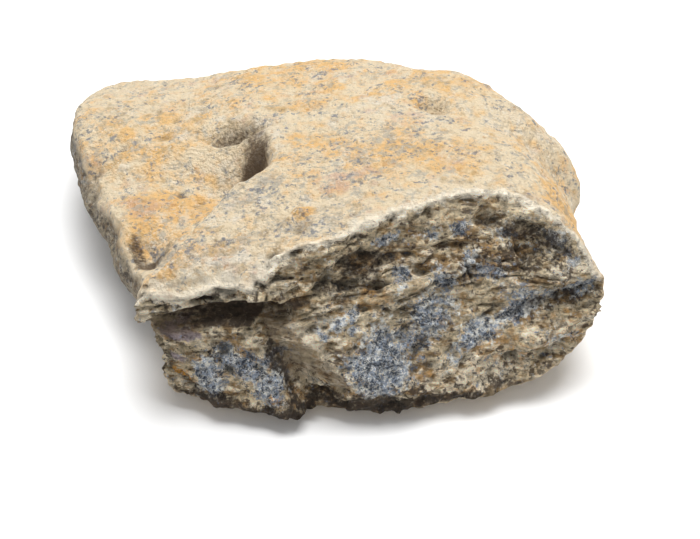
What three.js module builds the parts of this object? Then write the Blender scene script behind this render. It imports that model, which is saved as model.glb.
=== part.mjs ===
// A broken piece of a fossil ankylosaur scute: the bony plate that lay in the animal's skin.
// One solid of fossil bone. A smooth domed crust covers the top and rolls over at the right and the
// back. The front is a rough break through the spongy inside, and a lip of crust overhangs its left
// end. It rests on a small flat spot under its thickest part.
// Millimetres, +Z up. The break faces -Y, and the origin is under the middle of the piece.

import * as THREE from "three";

// Driving dimensions. Places are measured from a drawing point, which DRAWN_MIDDLE moves to the origin.
const DRAWN_MIDDLE = { x: -4.2, y: 13.2 };
const PLAN_CENTRE = { x: -3, y: 12 };
const CREST_HEIGHT = 22.6;
const FLAT_SPOT = { x: -1.5, y: 7.5, radiusX: 13, radiusY: 12, rise: 1, dip: 0.6 };

// The outline seen from above, in order round PLAN_CENTRE. Edge is the height of the outermost line,
// roll the width over which the top turns down to it, tuck the same for the underside, and chip the
// width of the chipped wall along the rim.
const OUTLINE = [
  { place: "left front", x: -24, y: -15, edge: 15, roll: 0.9, tuck: 4, chip: 0 },
  { place: "under front left", x: -12, y: -23.5, edge: 9, roll: 2, tuck: 4, chip: 0 },
  { place: "under front", x: 8, y: -24, edge: 8, roll: 2, tuck: 4, chip: 0 },
  { place: "front right", x: 24, y: -18, edge: 8, roll: 4, tuck: 8, chip: 0 },
  { place: "nose", x: 30.6, y: -6.5, edge: 11, roll: 7, tuck: 10, chip: 0 },
  { place: "right flank", x: 29.6, y: 3, edge: 10, roll: 9, tuck: 13, chip: 0 },
  { place: "right dent", x: 29.6, y: 12, edge: 9, roll: 9, tuck: 14, chip: 0 },
  { place: "right lobe", x: 32, y: 19, edge: 8, roll: 9, tuck: 14, chip: 0 },
  { place: "back right", x: 24, y: 30, edge: 9, roll: 8, tuck: 14, chip: 0 },
  { place: "back middle right", x: 11.5, y: 38, edge: 10, roll: 8, tuck: 14, chip: 0 },
  { place: "back middle", x: -4, y: 44.6, edge: 10, roll: 8, tuck: 14, chip: 0 },
  { place: "back step", x: -15.5, y: 43.8, edge: 10, roll: 6, tuck: 14, chip: 0 },
  { place: "back left", x: -27.5, y: 44.8, edge: 10, roll: 5, tuck: 14, chip: 0 },
  { place: "back left corner", x: -38.4, y: 43, edge: 10, roll: 4, tuck: 14, chip: 0 },
  { place: "left lobe", x: -40, y: 31, edge: 10.5, roll: 2.4, tuck: 16, chip: 0.4 },
  { place: "left", x: -37.2, y: 18.5, edge: 10, roll: 1.4, tuck: 16, chip: 2 },
  { place: "left lower", x: -31.6, y: 6.6, edge: 9, roll: 1.2, tuck: 14, chip: 1.7 },
  { place: "left corner", x: -28.4, y: -0.6, edge: 8, roll: 1.2, tuck: 9, chip: 1.6 },
  { place: "lip side", x: -25.4, y: -7.5, edge: 12, roll: 1.4, tuck: 6, chip: 0 },
];

// How steeply the chipped wall falls towards the rim, and how its width changes along it.
const CHIPPED_WALL = { slope: 2, breadth: 4, change: 0.6 };

// Heights of the crust along its length, before the terrace and the hollows: [x, height].
const CRUST_LENGTHWISE = [
  [-40, CREST_HEIGHT - 6],
  [-27, CREST_HEIGHT - 5],
  [-20, CREST_HEIGHT - 4.2],
  [-12, CREST_HEIGHT - 3],
  [-3, CREST_HEIGHT - 1.5],
  [8, CREST_HEIGHT - 0.2],
  [15, CREST_HEIGHT],
  [24, CREST_HEIGHT - 2.3],
  [33, CREST_HEIGHT - 7],
];

// What is added to those heights from front to back: [y, height].
const CRUST_DEPTHWISE = [
  [-16, -0.8],
  [-6, -0.2],
  [4, 0],
  [16, -0.2],
  [28, -1],
  [42, -3.2],
];

// The low terrace at the left: the line of its step as [y, x], how far it drops and how wide it is.
const STEP_LINE = [
  [-14, -28],
  [-11.7, -25.6],
  [-10, -22.8],
  [-4.5, -20],
  [0.6, -17.3],
  [5.4, -14.6],
  [10.2, -11.4],
  [20, -11],
  [30, -14],
  [42, -15],
];
const STEP_DROP = [
  [-14, 4.2],
  [0, 4.4],
  [8, 4.5],
  [14, 4.2],
  [20, 2],
  [30, 0.9],
  [42, 0.8],
];
const STEP_WIDTH = [
  [-12, 1.6],
  [0, 2.2],
  [8, 3.2],
  [15, 4],
  [24, 11],
  [42, 9],
];
const STEP_LEAD = 0.8; // how far before its line the step begins

// Hollows in the crust: centre, half sizes, turn in degrees, depth, and how flat the floor is.
const CRUST_HOLLOWS = [
  { place: "deep hole", x: -13.2, y: 10.6, a: 2.5, b: 3.7, turn: -18, depth: 7, flat: 2 },
  { place: "mouth of the hole", x: -16.8, y: 12.6, a: 4, b: 4, turn: 0, depth: 1.8, flat: 1 },
  { place: "hollow behind it", x: -15.4, y: 20.6, a: 4.6, b: 1.3, turn: -8, depth: 2, flat: 1.5 },
  { place: "small pit", x: 10.9, y: 20.2, a: 1.9, b: 1.5, turn: -35, depth: 2.4, flat: 1.5 },
  { place: "tail of the small pit", x: 13.4, y: 18.8, a: 3, b: 1.3, turn: -15, depth: 0.7, flat: 1 },
  { place: "valley in the flank", x: 31.5, y: 14.6, a: 9.5, b: 3.3, turn: -10, depth: 5, flat: 1 },
  { place: "valley floor at the left", x: -24, y: 3.5, a: 8, b: 3, turn: 45, depth: 1.2, flat: 1 },
  { place: "front of the lip", x: -18.5, y: -13.6, a: 9.5, b: 2.8, turn: 6, depth: 2.4, flat: 2 },
  { place: "bowl in the corner", x: -25, y: -0.2, a: 2.2, b: 3, turn: 12, depth: 2.4, flat: 1 },
  { place: "bowl beside the lip", x: -22.8, y: -2.6, a: 2.6, b: 1.6, turn: 28, depth: 1.4, flat: 1 },
  { place: "terrace dent", x: -34.2, y: 17.3, a: 2, b: 1, turn: -20, depth: 1.1, flat: 1 },
  { place: "terrace pit", x: -31, y: 20.8, a: 1, b: 0.9, turn: 0, depth: 1, flat: 1 },
  { place: "flaked patch", x: -4.5, y: -1.5, a: 4.5, b: 3, turn: 15, depth: 0.5, flat: 2 },
];

// The break: depth of its foot and of its upper edge along the piece, and the height of that edge.
const BREAK_FOOT = [
  [-26, -13.6],
  [-21, -16.2],
  [-12, -19.6],
  [-8, -21],
  [-2, -20.8],
  [2.4, -21.5],
  [8, -20.8],
  [14, -19],
  [20, -17],
  [27, -14.4],
  [31, -11],
];
const BREAK_EDGE = [
  [-26, -12.4],
  [-21, -11.6],
  [-12, -10.8],
  [-6, -10.2],
  [0, -8],
  [8, -3.6],
  [14, -1],
  [20, -1.2],
  [27, -4.2],
  [31, -6.2],
];
const BREAK_EDGE_HEIGHT = [
  [-26, 16],
  [-12, 17.5],
  [0, 19.5],
  [8, 21.3],
  [14, 22],
  [20, 20.8],
  [27, 18],
  [31, 14],
];
const BREAK_LEAN = 0.88; // how much of a step along Y counts as distance from the sloping break

// Hollows and, with a negative depth, ridges in the break: centre in X and Z, half sizes, turn.
const BREAK_HOLLOWS = [
  { place: "under the crust", x: 2.2, z: 16.8, a: 5.5, b: 2, turn: 14, depth: 1.7, flat: 1 },
  { place: "ledge under that", x: 9.2, z: 14.9, a: 5.5, b: 0.9, turn: 12, depth: -1, flat: 1 },
  { place: "dark pit at the right", x: 21.8, z: 16, a: 2.5, b: 1.6, turn: -20, depth: 2, flat: 1 },
  { place: "nose ridge", x: 27, z: 14.3, a: 5.5, b: 1.4, turn: 6, depth: -1.3, flat: 1 },
  { place: "groove under the nose", x: 25, z: 11.5, a: 7, b: 1.1, turn: 14, depth: 1.5, flat: 1 },
  { place: "second ridge", x: 24.5, z: 8.8, a: 5.5, b: 1, turn: 8, depth: -0.8, flat: 1 },
  { place: "lower groove", x: 21.5, z: 6, a: 5, b: 0.9, turn: 6, depth: 0.9, flat: 1 },
  { place: "short ledge", x: 10.8, z: 10.9, a: 2.6, b: 0.6, turn: -5, depth: -0.6, flat: 1 },
  { place: "undercut foot", x: 5.5, z: 0.9, a: 9, b: 2.2, turn: 0, depth: 1.8, flat: 2 },
  { place: "cave in the foot", x: -3, z: 2.4, a: 3.4, b: 1.5, turn: 0, depth: 1.1, flat: 1 },
  { place: "bulge beside the facet", x: -2.6, z: 13.8, a: 3, b: 2.2, turn: -35, depth: -0.9, flat: 1 },
];

// The smooth facet at the left end of the break falls away below its crest and ends at a groove.
const FACET = {
  fromX: -7.6,
  fromZ: 13,
  toX: -0.6,
  toZ: 6.9,
  slope: 0.72,
  rightX: -0.2,
  rightSlope: 1.5,
  footZ: 0.5,
  fullZ: 5,
};
const GROOVE = { footX: -5, lean: 0.46, wall: 1.6, cut: 1.2, halfWidth: 0.9, footZ: 2, fullZ: 5 };
const BLOCK_SET_BACK = 0.5; // how far the block beyond the groove lies behind the ruled break

// Rooms cut out of the solid under the lip: centre, half sizes, turn about Y in degrees.
const LIP_ROOMS = [
  { place: "recess under the lip", x: -15.6, y: -13.4, z: 11.7, a: 10, b: 3.6, c: 1.7, turn: 8 },
  { place: "cave over the facet", x: -8.6, y: -13, z: 12.8, a: 2.8, b: 3, c: 1.6, turn: 0 },
  { place: "hollow left of the block", x: -25.5, y: -12, z: 6.5, a: 3.4, b: 6, c: 5.2, turn: 0 },
];

// Unevenness of the surfaces: height of the bumps and their breadth.
const CRUST_SWELLS = { height: 0.5, breadth: 11, layer: 0.5 };
const BREAK_LUMPS = { height: 0.8, breadth: 6.5 };
const BREAK_KNOBS = { height: 0.5, breadth: 3, stretch: 2, layer: 7 };
const UNDERSIDE_SWELLS = { height: 0.55, breadth: 8, layer: 3.5, fullAt: 1.7 };
const OUTLINE_WAVES = { height: 1, breadth: 9 };

// Roundness of the edge where the crust meets the break, and of the mouths of the rooms.
const EDGE_ROUNDING = 0.35;
const ROOM_ROUNDING = 0.4;

// The skin hangs on the lines of a box lattice. Their rays start on a flat core and fan out from it.
const LATTICE = { x: 40, y: 20, z: 26, frontCrowding: 1.4 };
const CORE = {
  x: -3.5,
  y: 12.5,
  z: 9.5,
  halfX: 23.5,
  halfY: 14.5,
  halfZ: 2.5,
  splay: 3, // how far the front of the core lies to the right and its back to the left
  widen: 2,
  frontTilt: 0.4,
  leftDrop: 2.4,
};
const RAY = { reach: 42, steps: 120, halvings: 26 };
const FLAT_SNAP = 1e-3; // points this near to the ground are put on it

const clamp = (value, low, high) => Math.min(Math.max(value, low), high);
const mix = (a, b, share) => a + (b - a) * share;
const radians = (degrees) => (degrees * Math.PI) / 180;

function smoothStep(low, high, value) {
  const t = clamp((value - low) / (high - low), 0, 1);
  return t * t * (3 - 2 * t);
}

// The greater of two values, blended over a width so that the edge between two faces is rounded.
function roundedMax(a, b, width) {
  const h = clamp(0.5 + (0.5 * (a - b)) / width, 0, 1);
  return mix(b, a, h) + width * h * (1 - h);
}

// A smooth curve through knots [at, value], level outside the first and last.
function smoothCurve(knots) {
  const last = knots.length - 1;
  const slopes = knots.map((knot, i) => {
    const before = knots[Math.max(i - 1, 0)];
    const after = knots[Math.min(i + 1, last)];
    return (after[1] - before[1]) / (after[0] - before[0]);
  });
  return (at) => {
    const x = clamp(at, knots[0][0], knots[last][0]);
    let i = 0;
    while (i < last - 1 && x > knots[i + 1][0]) i += 1;
    const span = knots[i + 1][0] - knots[i][0];
    const t = (x - knots[i][0]) / span;
    const t2 = t * t;
    const t3 = t2 * t;
    return (
      knots[i][1] * (2 * t3 - 3 * t2 + 1) +
      slopes[i] * span * (t3 - 2 * t2 + t) +
      knots[i + 1][1] * (3 * t2 - 2 * t3) +
      slopes[i + 1] * span * (t3 - t2)
    );
  };
}

// A 32-bit number that looks random, the same each time for the same cell.
function cellHash(i, j, k) {
  let h = Math.imul(i, 0x9e3779b1) ^ Math.imul(j, 0x85ebca77) ^ Math.imul(k, 0xc2b2ae3d);
  h = Math.imul(h ^ (h >>> 15), 0x2c1b3c6d);
  h = Math.imul(h ^ (h >>> 12), 0x297a2d39);
  return (h ^ (h >>> 15)) >>> 0;
}

// Smooth random bumps from about -1 to 1, one or so to each unit of length.
function bumps(x, y, z) {
  const i = Math.floor(x);
  const j = Math.floor(y);
  const k = Math.floor(z);
  const fade = (t) => t * t * t * (t * (t * 6 - 15) + 10);
  const [u, v, w] = [fade(x - i), fade(y - j), fade(z - k)];
  let sum = 0;
  for (const di of [0, 1]) {
    for (const dj of [0, 1]) {
      for (const dk of [0, 1]) {
        const h = cellHash(i + di, j + dj, k + dk);
        const slopeX = (h & 1023) / 511.5 - 1;
        const slopeY = ((h >>> 10) & 1023) / 511.5 - 1;
        const slopeZ = ((h >>> 20) & 1023) / 511.5 - 1;
        const height = slopeX * (x - i - di) + slopeY * (y - j - dj) + slopeZ * (z - k - dk);
        const share = (di ? u : 1 - u) * (dj ? v : 1 - v) * (dk ? w : 1 - w);
        sum += height * share;
      }
    }
  }
  return sum * 1.4;
}

// How deep a round-edged hollow is at a point that lies u and v from its centre.
function hollowDepth({ a, b, turn, depth, flat }, u, v) {
  const angle = radians(turn);
  const along = (u * Math.cos(angle) + v * Math.sin(angle)) / a;
  const across = (v * Math.cos(angle) - u * Math.sin(angle)) / b;
  return depth * Math.exp(-((along * along + across * across) ** flat));
}

// The outline's measures as smooth curves of the angle round PLAN_CENTRE.
function outlineCurves() {
  const rounds = OUTLINE.map((point) => {
    const dx = point.x - PLAN_CENTRE.x;
    const dy = point.y - PLAN_CENTRE.y;
    return { ...point, angle: Math.atan2(dy, dx), radius: Math.hypot(dx, dy) };
  }).sort((a, b) => a.angle - b.angle);
  const turn = 2 * Math.PI;
  const wrapped = [
    ...rounds.slice(-2).map((p) => ({ ...p, angle: p.angle - turn })),
    ...rounds,
    ...rounds.slice(0, 2).map((p) => ({ ...p, angle: p.angle + turn })),
  ];
  const curve = (key) => [key, smoothCurve(wrapped.map((p) => [p.angle, p[key]]))];
  return Object.fromEntries(["radius", "edge", "roll", "tuck", "chip"].map(curve));
}

const outline = outlineCurves();
const lengthwise = smoothCurve(CRUST_LENGTHWISE);
const depthwise = smoothCurve(CRUST_DEPTHWISE);
const stepLine = smoothCurve(STEP_LINE);
const stepDrop = smoothCurve(STEP_DROP);
const stepWidth = smoothCurve(STEP_WIDTH);
const breakFoot = smoothCurve(BREAK_FOOT);
const breakEdge = smoothCurve(BREAK_EDGE);
const breakEdgeHeight = smoothCurve(BREAK_EDGE_HEIGHT);

// Height of the crust's surface inside the rolled rim.
function crustHeight(x, y) {
  const intoTerrace = stepLine(y) - x;
  let height = lengthwise(x) + depthwise(y);
  height -= stepDrop(y) * smoothStep(-STEP_LEAD, stepWidth(y), intoTerrace);
  for (const hollow of CRUST_HOLLOWS) height -= hollowDepth(hollow, x - hollow.x, y - hollow.y);
  const { height: swell, breadth, layer } = CRUST_SWELLS;
  return height + swell * bumps(x / breadth, y / breadth, layer);
}

// Height of the underside: nothing at the flat spot, and rising slowly away from it.
function undersideHeight(x, y) {
  const { x: middleX, y: middleY, radiusX, radiusY, rise, dip } = FLAT_SPOT;
  const out = Math.hypot((x - middleX) / radiusX, (y - middleY) / radiusY);
  if (out < 1) return -dip * (1 - out);
  const { height, breadth, layer, fullAt } = UNDERSIDE_SWELLS;
  const swell = height * (1 + bumps(x / breadth, y / breadth, layer)) * smoothStep(1, fullAt, out);
  return rise * (out - 1) ** 2 + swell;
}

// A quarter circle from 0 at the rim to 1 at the width, which rounds the rim over.
function quarterRound(inward, width) {
  const t = clamp(inward / width, 0, 1);
  return Math.sqrt(1 - (1 - t) * (1 - t));
}

// Height of the crust's surface where a wall is chipped from the rim, narrower in some places.
function chippedCrust(x, y, z, inward, chip) {
  const { slope, breadth, change } = CHIPPED_WALL;
  const width = chip * (1 + change * bumps(x / breadth, y / breadth, z / breadth));
  return crustHeight(x, y) - slope * Math.max(width - inward, 0);
}

// Below zero between the crust and the underside, and inside the outline.
function slab(x, y, z) {
  const dx = x - PLAN_CENTRE.x;
  const dy = y - PLAN_CENTRE.y;
  const angle = Math.atan2(dy, dx);
  const { height, breadth } = OUTLINE_WAVES;
  const waves = height * bumps(x / breadth, y / breadth, z / breadth);
  const inward = outline.radius(angle) - Math.hypot(dx, dy) + waves;
  if (inward <= 0) return -inward;
  const edge = outline.edge(angle);
  const upper = chippedCrust(x, y, z, inward, outline.chip(angle));
  const top = mix(edge, upper, quarterRound(inward, outline.roll(angle)));
  const under = mix(edge, undersideHeight(x, y), quarterRound(inward, outline.tuck(angle)));
  return Math.max(z - top, under - z);
}

// How far the break stands out from its ruled surface: ridges, hollows, the facet and the block.
function breakRelief(x, z) {
  let relief = 0;
  for (const hollow of BREAK_HOLLOWS) relief -= hollowDepth(hollow, x - hollow.x, z - hollow.z);
  const length = Math.hypot(FACET.toX - FACET.fromX, FACET.toZ - FACET.fromZ);
  const dirX = (FACET.toX - FACET.fromX) / length;
  const dirZ = (FACET.toZ - FACET.fromZ) / length;
  const belowCrest = (x - FACET.fromX) * dirZ - (z - FACET.fromZ) * dirX;
  const intoFacet = Math.min(belowCrest, FACET.rightSlope * (FACET.rightX - x));
  const facet = -FACET.slope * Math.max(intoFacet, 0) * smoothStep(FACET.footZ, FACET.fullZ, z);
  const pastGroove = x - (GROOVE.footX - GROOVE.lean * z);
  const block = -BLOCK_SET_BACK - GROOVE.wall * Math.max(pastGroove, 0);
  const crack = GROOVE.cut * Math.exp(-((pastGroove / GROOVE.halfWidth) ** 2));
  if (intoFacet <= 0) return relief;
  return Math.max(relief + facet, block) - crack * smoothStep(GROOVE.footZ, GROOVE.fullZ, z);
}

// Below zero behind the break.
function breakFace(x, y, z) {
  const share = z / breakEdgeHeight(x);
  const ruled = mix(breakFoot(x), breakEdge(x), share);
  const b = BREAK_LUMPS.breadth;
  const lumps = BREAK_LUMPS.height * bumps(x / b, y / b, z / b);
  const { height, breadth, stretch, layer } = BREAK_KNOBS;
  const knobs = height * bumps(x / (breadth * stretch), y / breadth, z / breadth + layer);
  return (ruled - y) * BREAK_LEAN - breakRelief(x, z) - lumps - knobs;
}

// Above zero inside a room cut out under the lip.
function roomDepth({ a, b, c, turn, ...centre }, x, y, z) {
  const angle = radians(turn);
  const u = (x - centre.x) * Math.cos(angle) + (z - centre.z) * Math.sin(angle);
  const w = (z - centre.z) * Math.cos(angle) - (x - centre.x) * Math.sin(angle);
  const out = Math.hypot(u / a, (y - centre.y) / b, w / c);
  return (1 - out) * Math.min(a, b, c);
}

// Below zero inside the fossil, above zero outside, near the true distance close to its surface.
function field(x, y, z) {
  let value = roundedMax(slab(x, y, z), breakFace(x, y, z), EDGE_ROUNDING);
  for (const room of LIP_ROOMS) value = roundedMax(value, roomDepth(room, x, y, z), ROOM_ROUNDING);
  return Math.max(value, -z);
}

// Where a lattice point's ray starts and which way it goes. Rays fan out and never cross.
function rayFor(px, py, pz) {
  const fan = (p) => p * Math.abs(p);
  const lift = (pz + fan(pz)) / 2 + CORE.frontTilt * Math.max(-fan(py), 0);
  const direction = new THREE.Vector3(fan(px), fan(py), lift);
  const start = new THREE.Vector3(
    CORE.x - CORE.splay * py + (CORE.halfX + CORE.widen * py) * px,
    CORE.y + CORE.halfY * py,
    CORE.z + CORE.halfZ * pz + CORE.leftDrop * px,
  );
  return { start, direction: direction.normalize() };
}

// The first point along a ray where the fossil ends.
function skinPoint(px, py, pz) {
  const { start, direction } = rayFor(px, py, pz);
  const at = (t) => start.clone().addScaledVector(direction, t);
  const value = (t) => field(...at(t).toArray());
  const step = RAY.reach / RAY.steps;
  let outside = step;
  while (value(outside) < 0 && outside < RAY.reach) outside += step;
  let inside = outside - step;
  for (let i = 0; i < RAY.halvings; i += 1) {
    const middle = (inside + outside) / 2;
    if (value(middle) < 0) inside = middle;
    else outside = middle;
  }
  const point = at(inside);
  if (Math.abs(point.z) < FLAT_SNAP) point.z = 0;
  return point.sub(new THREE.Vector3(DRAWN_MIDDLE.x, DRAWN_MIDDLE.y, 0));
}

// Each lattice line's place from -1 to 1, crowded towards -1 where crowding is over 1.
const linePlace = (i, count, crowding = 1) => 2 * (i / count) ** crowding - 1;

// The six faces of the lattice box, each point shared by the faces that meet there.
function skinGeometry() {
  const { x: nx, y: ny, z: nz, frontCrowding } = LATTICE;
  const positions = [];
  const indexOf = new Map();
  const vertex = (i, j, k) => {
    const key = (i * (ny + 1) + j) * (nz + 1) + k;
    if (!indexOf.has(key)) {
      indexOf.set(key, positions.length / 3);
      const p = skinPoint(linePlace(i, nx), linePlace(j, ny, frontCrowding), linePlace(k, nz));
      positions.push(...p.toArray());
    }
    return indexOf.get(key);
  };
  const faces = [];
  const quad = (a, b, c, d) => faces.push(a, b, c, a, c, d);
  const sheet = (nu, nv, corner, flip) => {
    for (let u = 0; u < nu; u += 1) {
      for (let v = 0; v < nv; v += 1) {
        const ring = [corner(u, v), corner(u + 1, v), corner(u + 1, v + 1), corner(u, v + 1)];
        if (flip) ring.reverse();
        quad(...ring);
      }
    }
  };
  sheet(nx, ny, (i, j) => vertex(i, j, nz), false);
  sheet(nx, ny, (i, j) => vertex(i, j, 0), true);
  sheet(nx, nz, (i, k) => vertex(i, 0, k), false);
  sheet(nx, nz, (i, k) => vertex(i, ny, k), true);
  sheet(ny, nz, (j, k) => vertex(nx, j, k), false);
  sheet(ny, nz, (j, k) => vertex(0, j, k), true);
  const geometry = new THREE.BufferGeometry();
  geometry.setAttribute("position", new THREE.Float32BufferAttribute(positions, 3));
  geometry.setIndex(faces);
  geometry.computeVertexNormals();
  return geometry;
}

const fossilBone = new THREE.MeshStandardMaterial({ color: 0xcbb18b, roughness: 0.85, metalness: 0 });
const scute = new THREE.Mesh(skinGeometry(), fossilBone);
scute.name = "scute";

const fossil = new THREE.Group();
fossil.add(scute);

export default fossil;
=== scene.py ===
"""Looks of a fossil ankylosaur scute, a broken piece of the bony plate that lay in the animal's skin.

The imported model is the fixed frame. One closed piece stands for its node: it follows the same curves on a
finer lattice, and adds the fine relief of crust and of broken bone. The shape is worked out in millimetres
from the drawing point, as the solid is, and becomes metres in the row frame when the mesh is made.
"""

import logging
import math
from dataclasses import dataclass, field
from enum import Enum

import bpy
import numpy as np
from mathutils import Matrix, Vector


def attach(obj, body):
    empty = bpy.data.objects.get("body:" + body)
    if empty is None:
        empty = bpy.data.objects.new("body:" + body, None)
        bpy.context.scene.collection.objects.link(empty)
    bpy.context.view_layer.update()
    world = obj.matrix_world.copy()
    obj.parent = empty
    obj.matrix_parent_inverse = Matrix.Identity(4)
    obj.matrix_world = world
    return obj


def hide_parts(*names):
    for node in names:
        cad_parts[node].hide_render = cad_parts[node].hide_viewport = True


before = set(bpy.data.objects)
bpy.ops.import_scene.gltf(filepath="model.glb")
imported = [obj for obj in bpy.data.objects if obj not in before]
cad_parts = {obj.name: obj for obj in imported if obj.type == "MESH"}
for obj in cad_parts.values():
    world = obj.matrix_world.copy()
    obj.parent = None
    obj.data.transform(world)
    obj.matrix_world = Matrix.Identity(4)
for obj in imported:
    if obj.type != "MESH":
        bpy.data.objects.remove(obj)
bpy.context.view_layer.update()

log = logging.getLogger("fossil")

NODE = "scute"
MM = 0.001
DRAWN_MIDDLE = (-4.2, 13.2)  # the drawing point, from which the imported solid's middle is this far, in mm

Array = np.ndarray
Tree = bpy.types.NodeTree
Socket = bpy.types.NodeSocket
Marks = dict[str, Socket]
Knots = tuple[tuple[float, float], ...]


def mix(a: Array, b: Array, share: Array) -> Array:
    """Blend a into b by a share from 0 to 1."""
    return a + (b - a) * share


def smooth_step(low: float | Array, high: float | Array, value: Array) -> Array:
    """Rise from 0 at low to 1 at high along 3t^2 - 2t^3, or fall where high is the lower."""
    t = np.clip((value - low) / (high - low), 0.0, 1.0)
    return t * t * (3.0 - 2.0 * t)


def rounded_max(a: Array, b: Array, width: float) -> Array:
    """The greater of two values, blended over a width so that the edge between two faces is rounded."""
    h = np.clip(0.5 + 0.5 * (a - b) / width, 0.0, 1.0)
    return mix(b, a, h) + width * h * (1.0 - h)


class Curve:
    """A smooth curve through knots, level outside the first and the last."""

    def __init__(self, knots: Knots) -> None:
        """Store the knots and give each the slope of the line between its neighbours.

        Args:
            knots: (place, value) pairs in rising order of place.
        """
        self.at, self.value = (np.array(column, float) for column in zip(*knots))
        count = len(self.at)
        before = np.maximum(np.arange(count) - 1, 0)
        after = np.minimum(np.arange(count) + 1, count - 1)
        self.slope = (self.value[after] - self.value[before]) / (self.at[after] - self.at[before])

    def __call__(self, place: Array) -> Array:
        """Read the curve: between two knots it is the Hermite cubic of their values and slopes.

        Args:
            place: Where to read it.

        Returns:
            The values there.
        """
        x = np.clip(place, self.at[0], self.at[-1])
        i = np.clip(np.searchsorted(self.at, x) - 1, 0, len(self.at) - 2)
        span = self.at[i + 1] - self.at[i]
        t = (x - self.at[i]) / span
        t2, t3 = t * t, t * t * t
        return (
            self.value[i] * (2 * t3 - 3 * t2 + 1)
            + self.slope[i] * span * (t3 - 2 * t2 + t)
            + self.value[i + 1] * (3 * t2 - 2 * t3)
            + self.slope[i + 1] * span * (t3 - t2)
        )


def cell_hash(i: Array, j: Array, k: Array) -> Array:
    """Give each whole cell a 32-bit number that looks random and is the same each time.

    Three odd multipliers spread the indices, and two rounds of shift, exclusive or and multiply mix the
    bits.

    Args:
        i: Cell indices along the first axis.
        j: Cell indices along the second axis.
        k: Cell indices along the third axis.

    Returns:
        One unsigned number for each cell.
    """
    i, j, k = (np.asarray(c).astype(np.int64).astype(np.uint32) for c in (i, j, k))
    h = i * np.uint32(0x9E3779B1) ^ j * np.uint32(0x85EBCA77) ^ k * np.uint32(0xC2B2AE3D)
    h = (h ^ (h >> np.uint32(15))) * np.uint32(0x2C1B3C6D)
    h = (h ^ (h >> np.uint32(12))) * np.uint32(0x297A2D39)
    return h ^ (h >> np.uint32(15))


def bumps(x: Array, y: Array, z: Array) -> Array:
    """Smooth random bumps from about -1 to 1, one or so to each unit of length.

    Each corner of the cell around a point has a random slope; the heights of those eight slopes are blended
    with the fade 6t^5 - 15t^4 + 10t^3 along each axis. A whole number added to a coordinate by the caller
    picks another stretch of the bumps, so that two patterns don't match.

    Args:
        x: First coordinate, in units of one bump.
        y: Second coordinate.
        z: Third coordinate.

    Returns:
        The height at each point.
    """
    x, y, z = np.broadcast_arrays(x, y, z)
    i, j, k = np.floor(x), np.floor(y), np.floor(z)
    fade_x, fade_y, fade_z = (t * t * t * (t * (t * 6 - 15) + 10) for t in (x - i, y - j, z - k))
    total = np.zeros_like(x, dtype=float)
    for di in (0, 1):
        for dj in (0, 1):
            for dk in (0, 1):
                h = cell_hash(i + di, j + dj, k + dk)
                slope_x = (h & np.uint32(1023)) / 511.5 - 1
                slope_y = ((h >> np.uint32(10)) & np.uint32(1023)) / 511.5 - 1
                slope_z = ((h >> np.uint32(20)) & np.uint32(1023)) / 511.5 - 1
                height = slope_x * (x - i - di) + slope_y * (y - j - dj) + slope_z * (z - k - dk)
                share = (fade_x if di else 1 - fade_x) * (fade_y if dj else 1 - fade_y)
                total += height * share * (fade_z if dk else 1 - fade_z)
    return total * 1.4


def pits(x: Array, y: Array, z: Array, chance: float, small: float, large: float) -> Array:
    """Round dimples scattered at random, at most one to each cell of unit size.

    In a chosen cell the dimple's middle is a random place, its radius is random between small and large, and
    its depth is (1 - (distance / radius)^2)^2 inside that radius. Overlapping dimples keep the deeper one.

    Args:
        x: First coordinate, in cells.
        y: Second coordinate.
        z: Third coordinate.
        chance: Share of the cells that hold a dimple.
        small: Least radius, in cells.
        large: Greatest radius, in cells.

    Returns:
        Depth from 0 to 1 at each point.
    """
    i, j, k = np.floor(x), np.floor(y), np.floor(z)
    deepest = np.zeros_like(x, dtype=float)
    for di in (-1, 0, 1):
        for dj in (-1, 0, 1):
            for dk in (-1, 0, 1):
                h = cell_hash(i + di, j + dj, k + dk)
                at_x = i + di + (h & np.uint32(255)) / 255.0
                at_y = j + dj + ((h >> np.uint32(8)) & np.uint32(255)) / 255.0
                at_z = k + dk + ((h >> np.uint32(16)) & np.uint32(255)) / 255.0
                draw = ((h >> np.uint32(24)) & np.uint32(255)) / 255.0
                radius = small + (large - small) * draw / max(chance, 1e-6)
                away = (x - at_x) ** 2 + (y - at_y) ** 2 + (z - at_z) ** 2
                bowl = np.clip(1 - away / radius**2, 0, 1) ** 2
                deepest = np.maximum(deepest, np.where(draw < chance, bowl, 0))
    return deepest


@dataclass(frozen=True)
class Hollow:
    """A round-edged hollow, or with a negative depth a ridge, in a surface that has two coordinates."""

    place: str
    across: float
    up: float
    a: float
    b: float
    turn: float
    depth: float
    flat: float = 1.0

    def fall(self, u: Array, v: Array) -> Array:
        """Depth at each point: depth * exp(-((u'/a)^2 + (v'/b)^2)^flat), with u' and v' turned.

        Args:
            u: First coordinate of the points, in mm.
            v: Second coordinate of the points, in mm.

        Returns:
            How far the surface is lowered there, in mm.
        """
        angle = math.radians(self.turn)
        du, dv = u - self.across, v - self.up
        along = (du * math.cos(angle) + dv * math.sin(angle)) / self.a
        aside = (dv * math.cos(angle) - du * math.sin(angle)) / self.b
        return self.depth * np.exp(-((along * along + aside * aside) ** self.flat))


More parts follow.
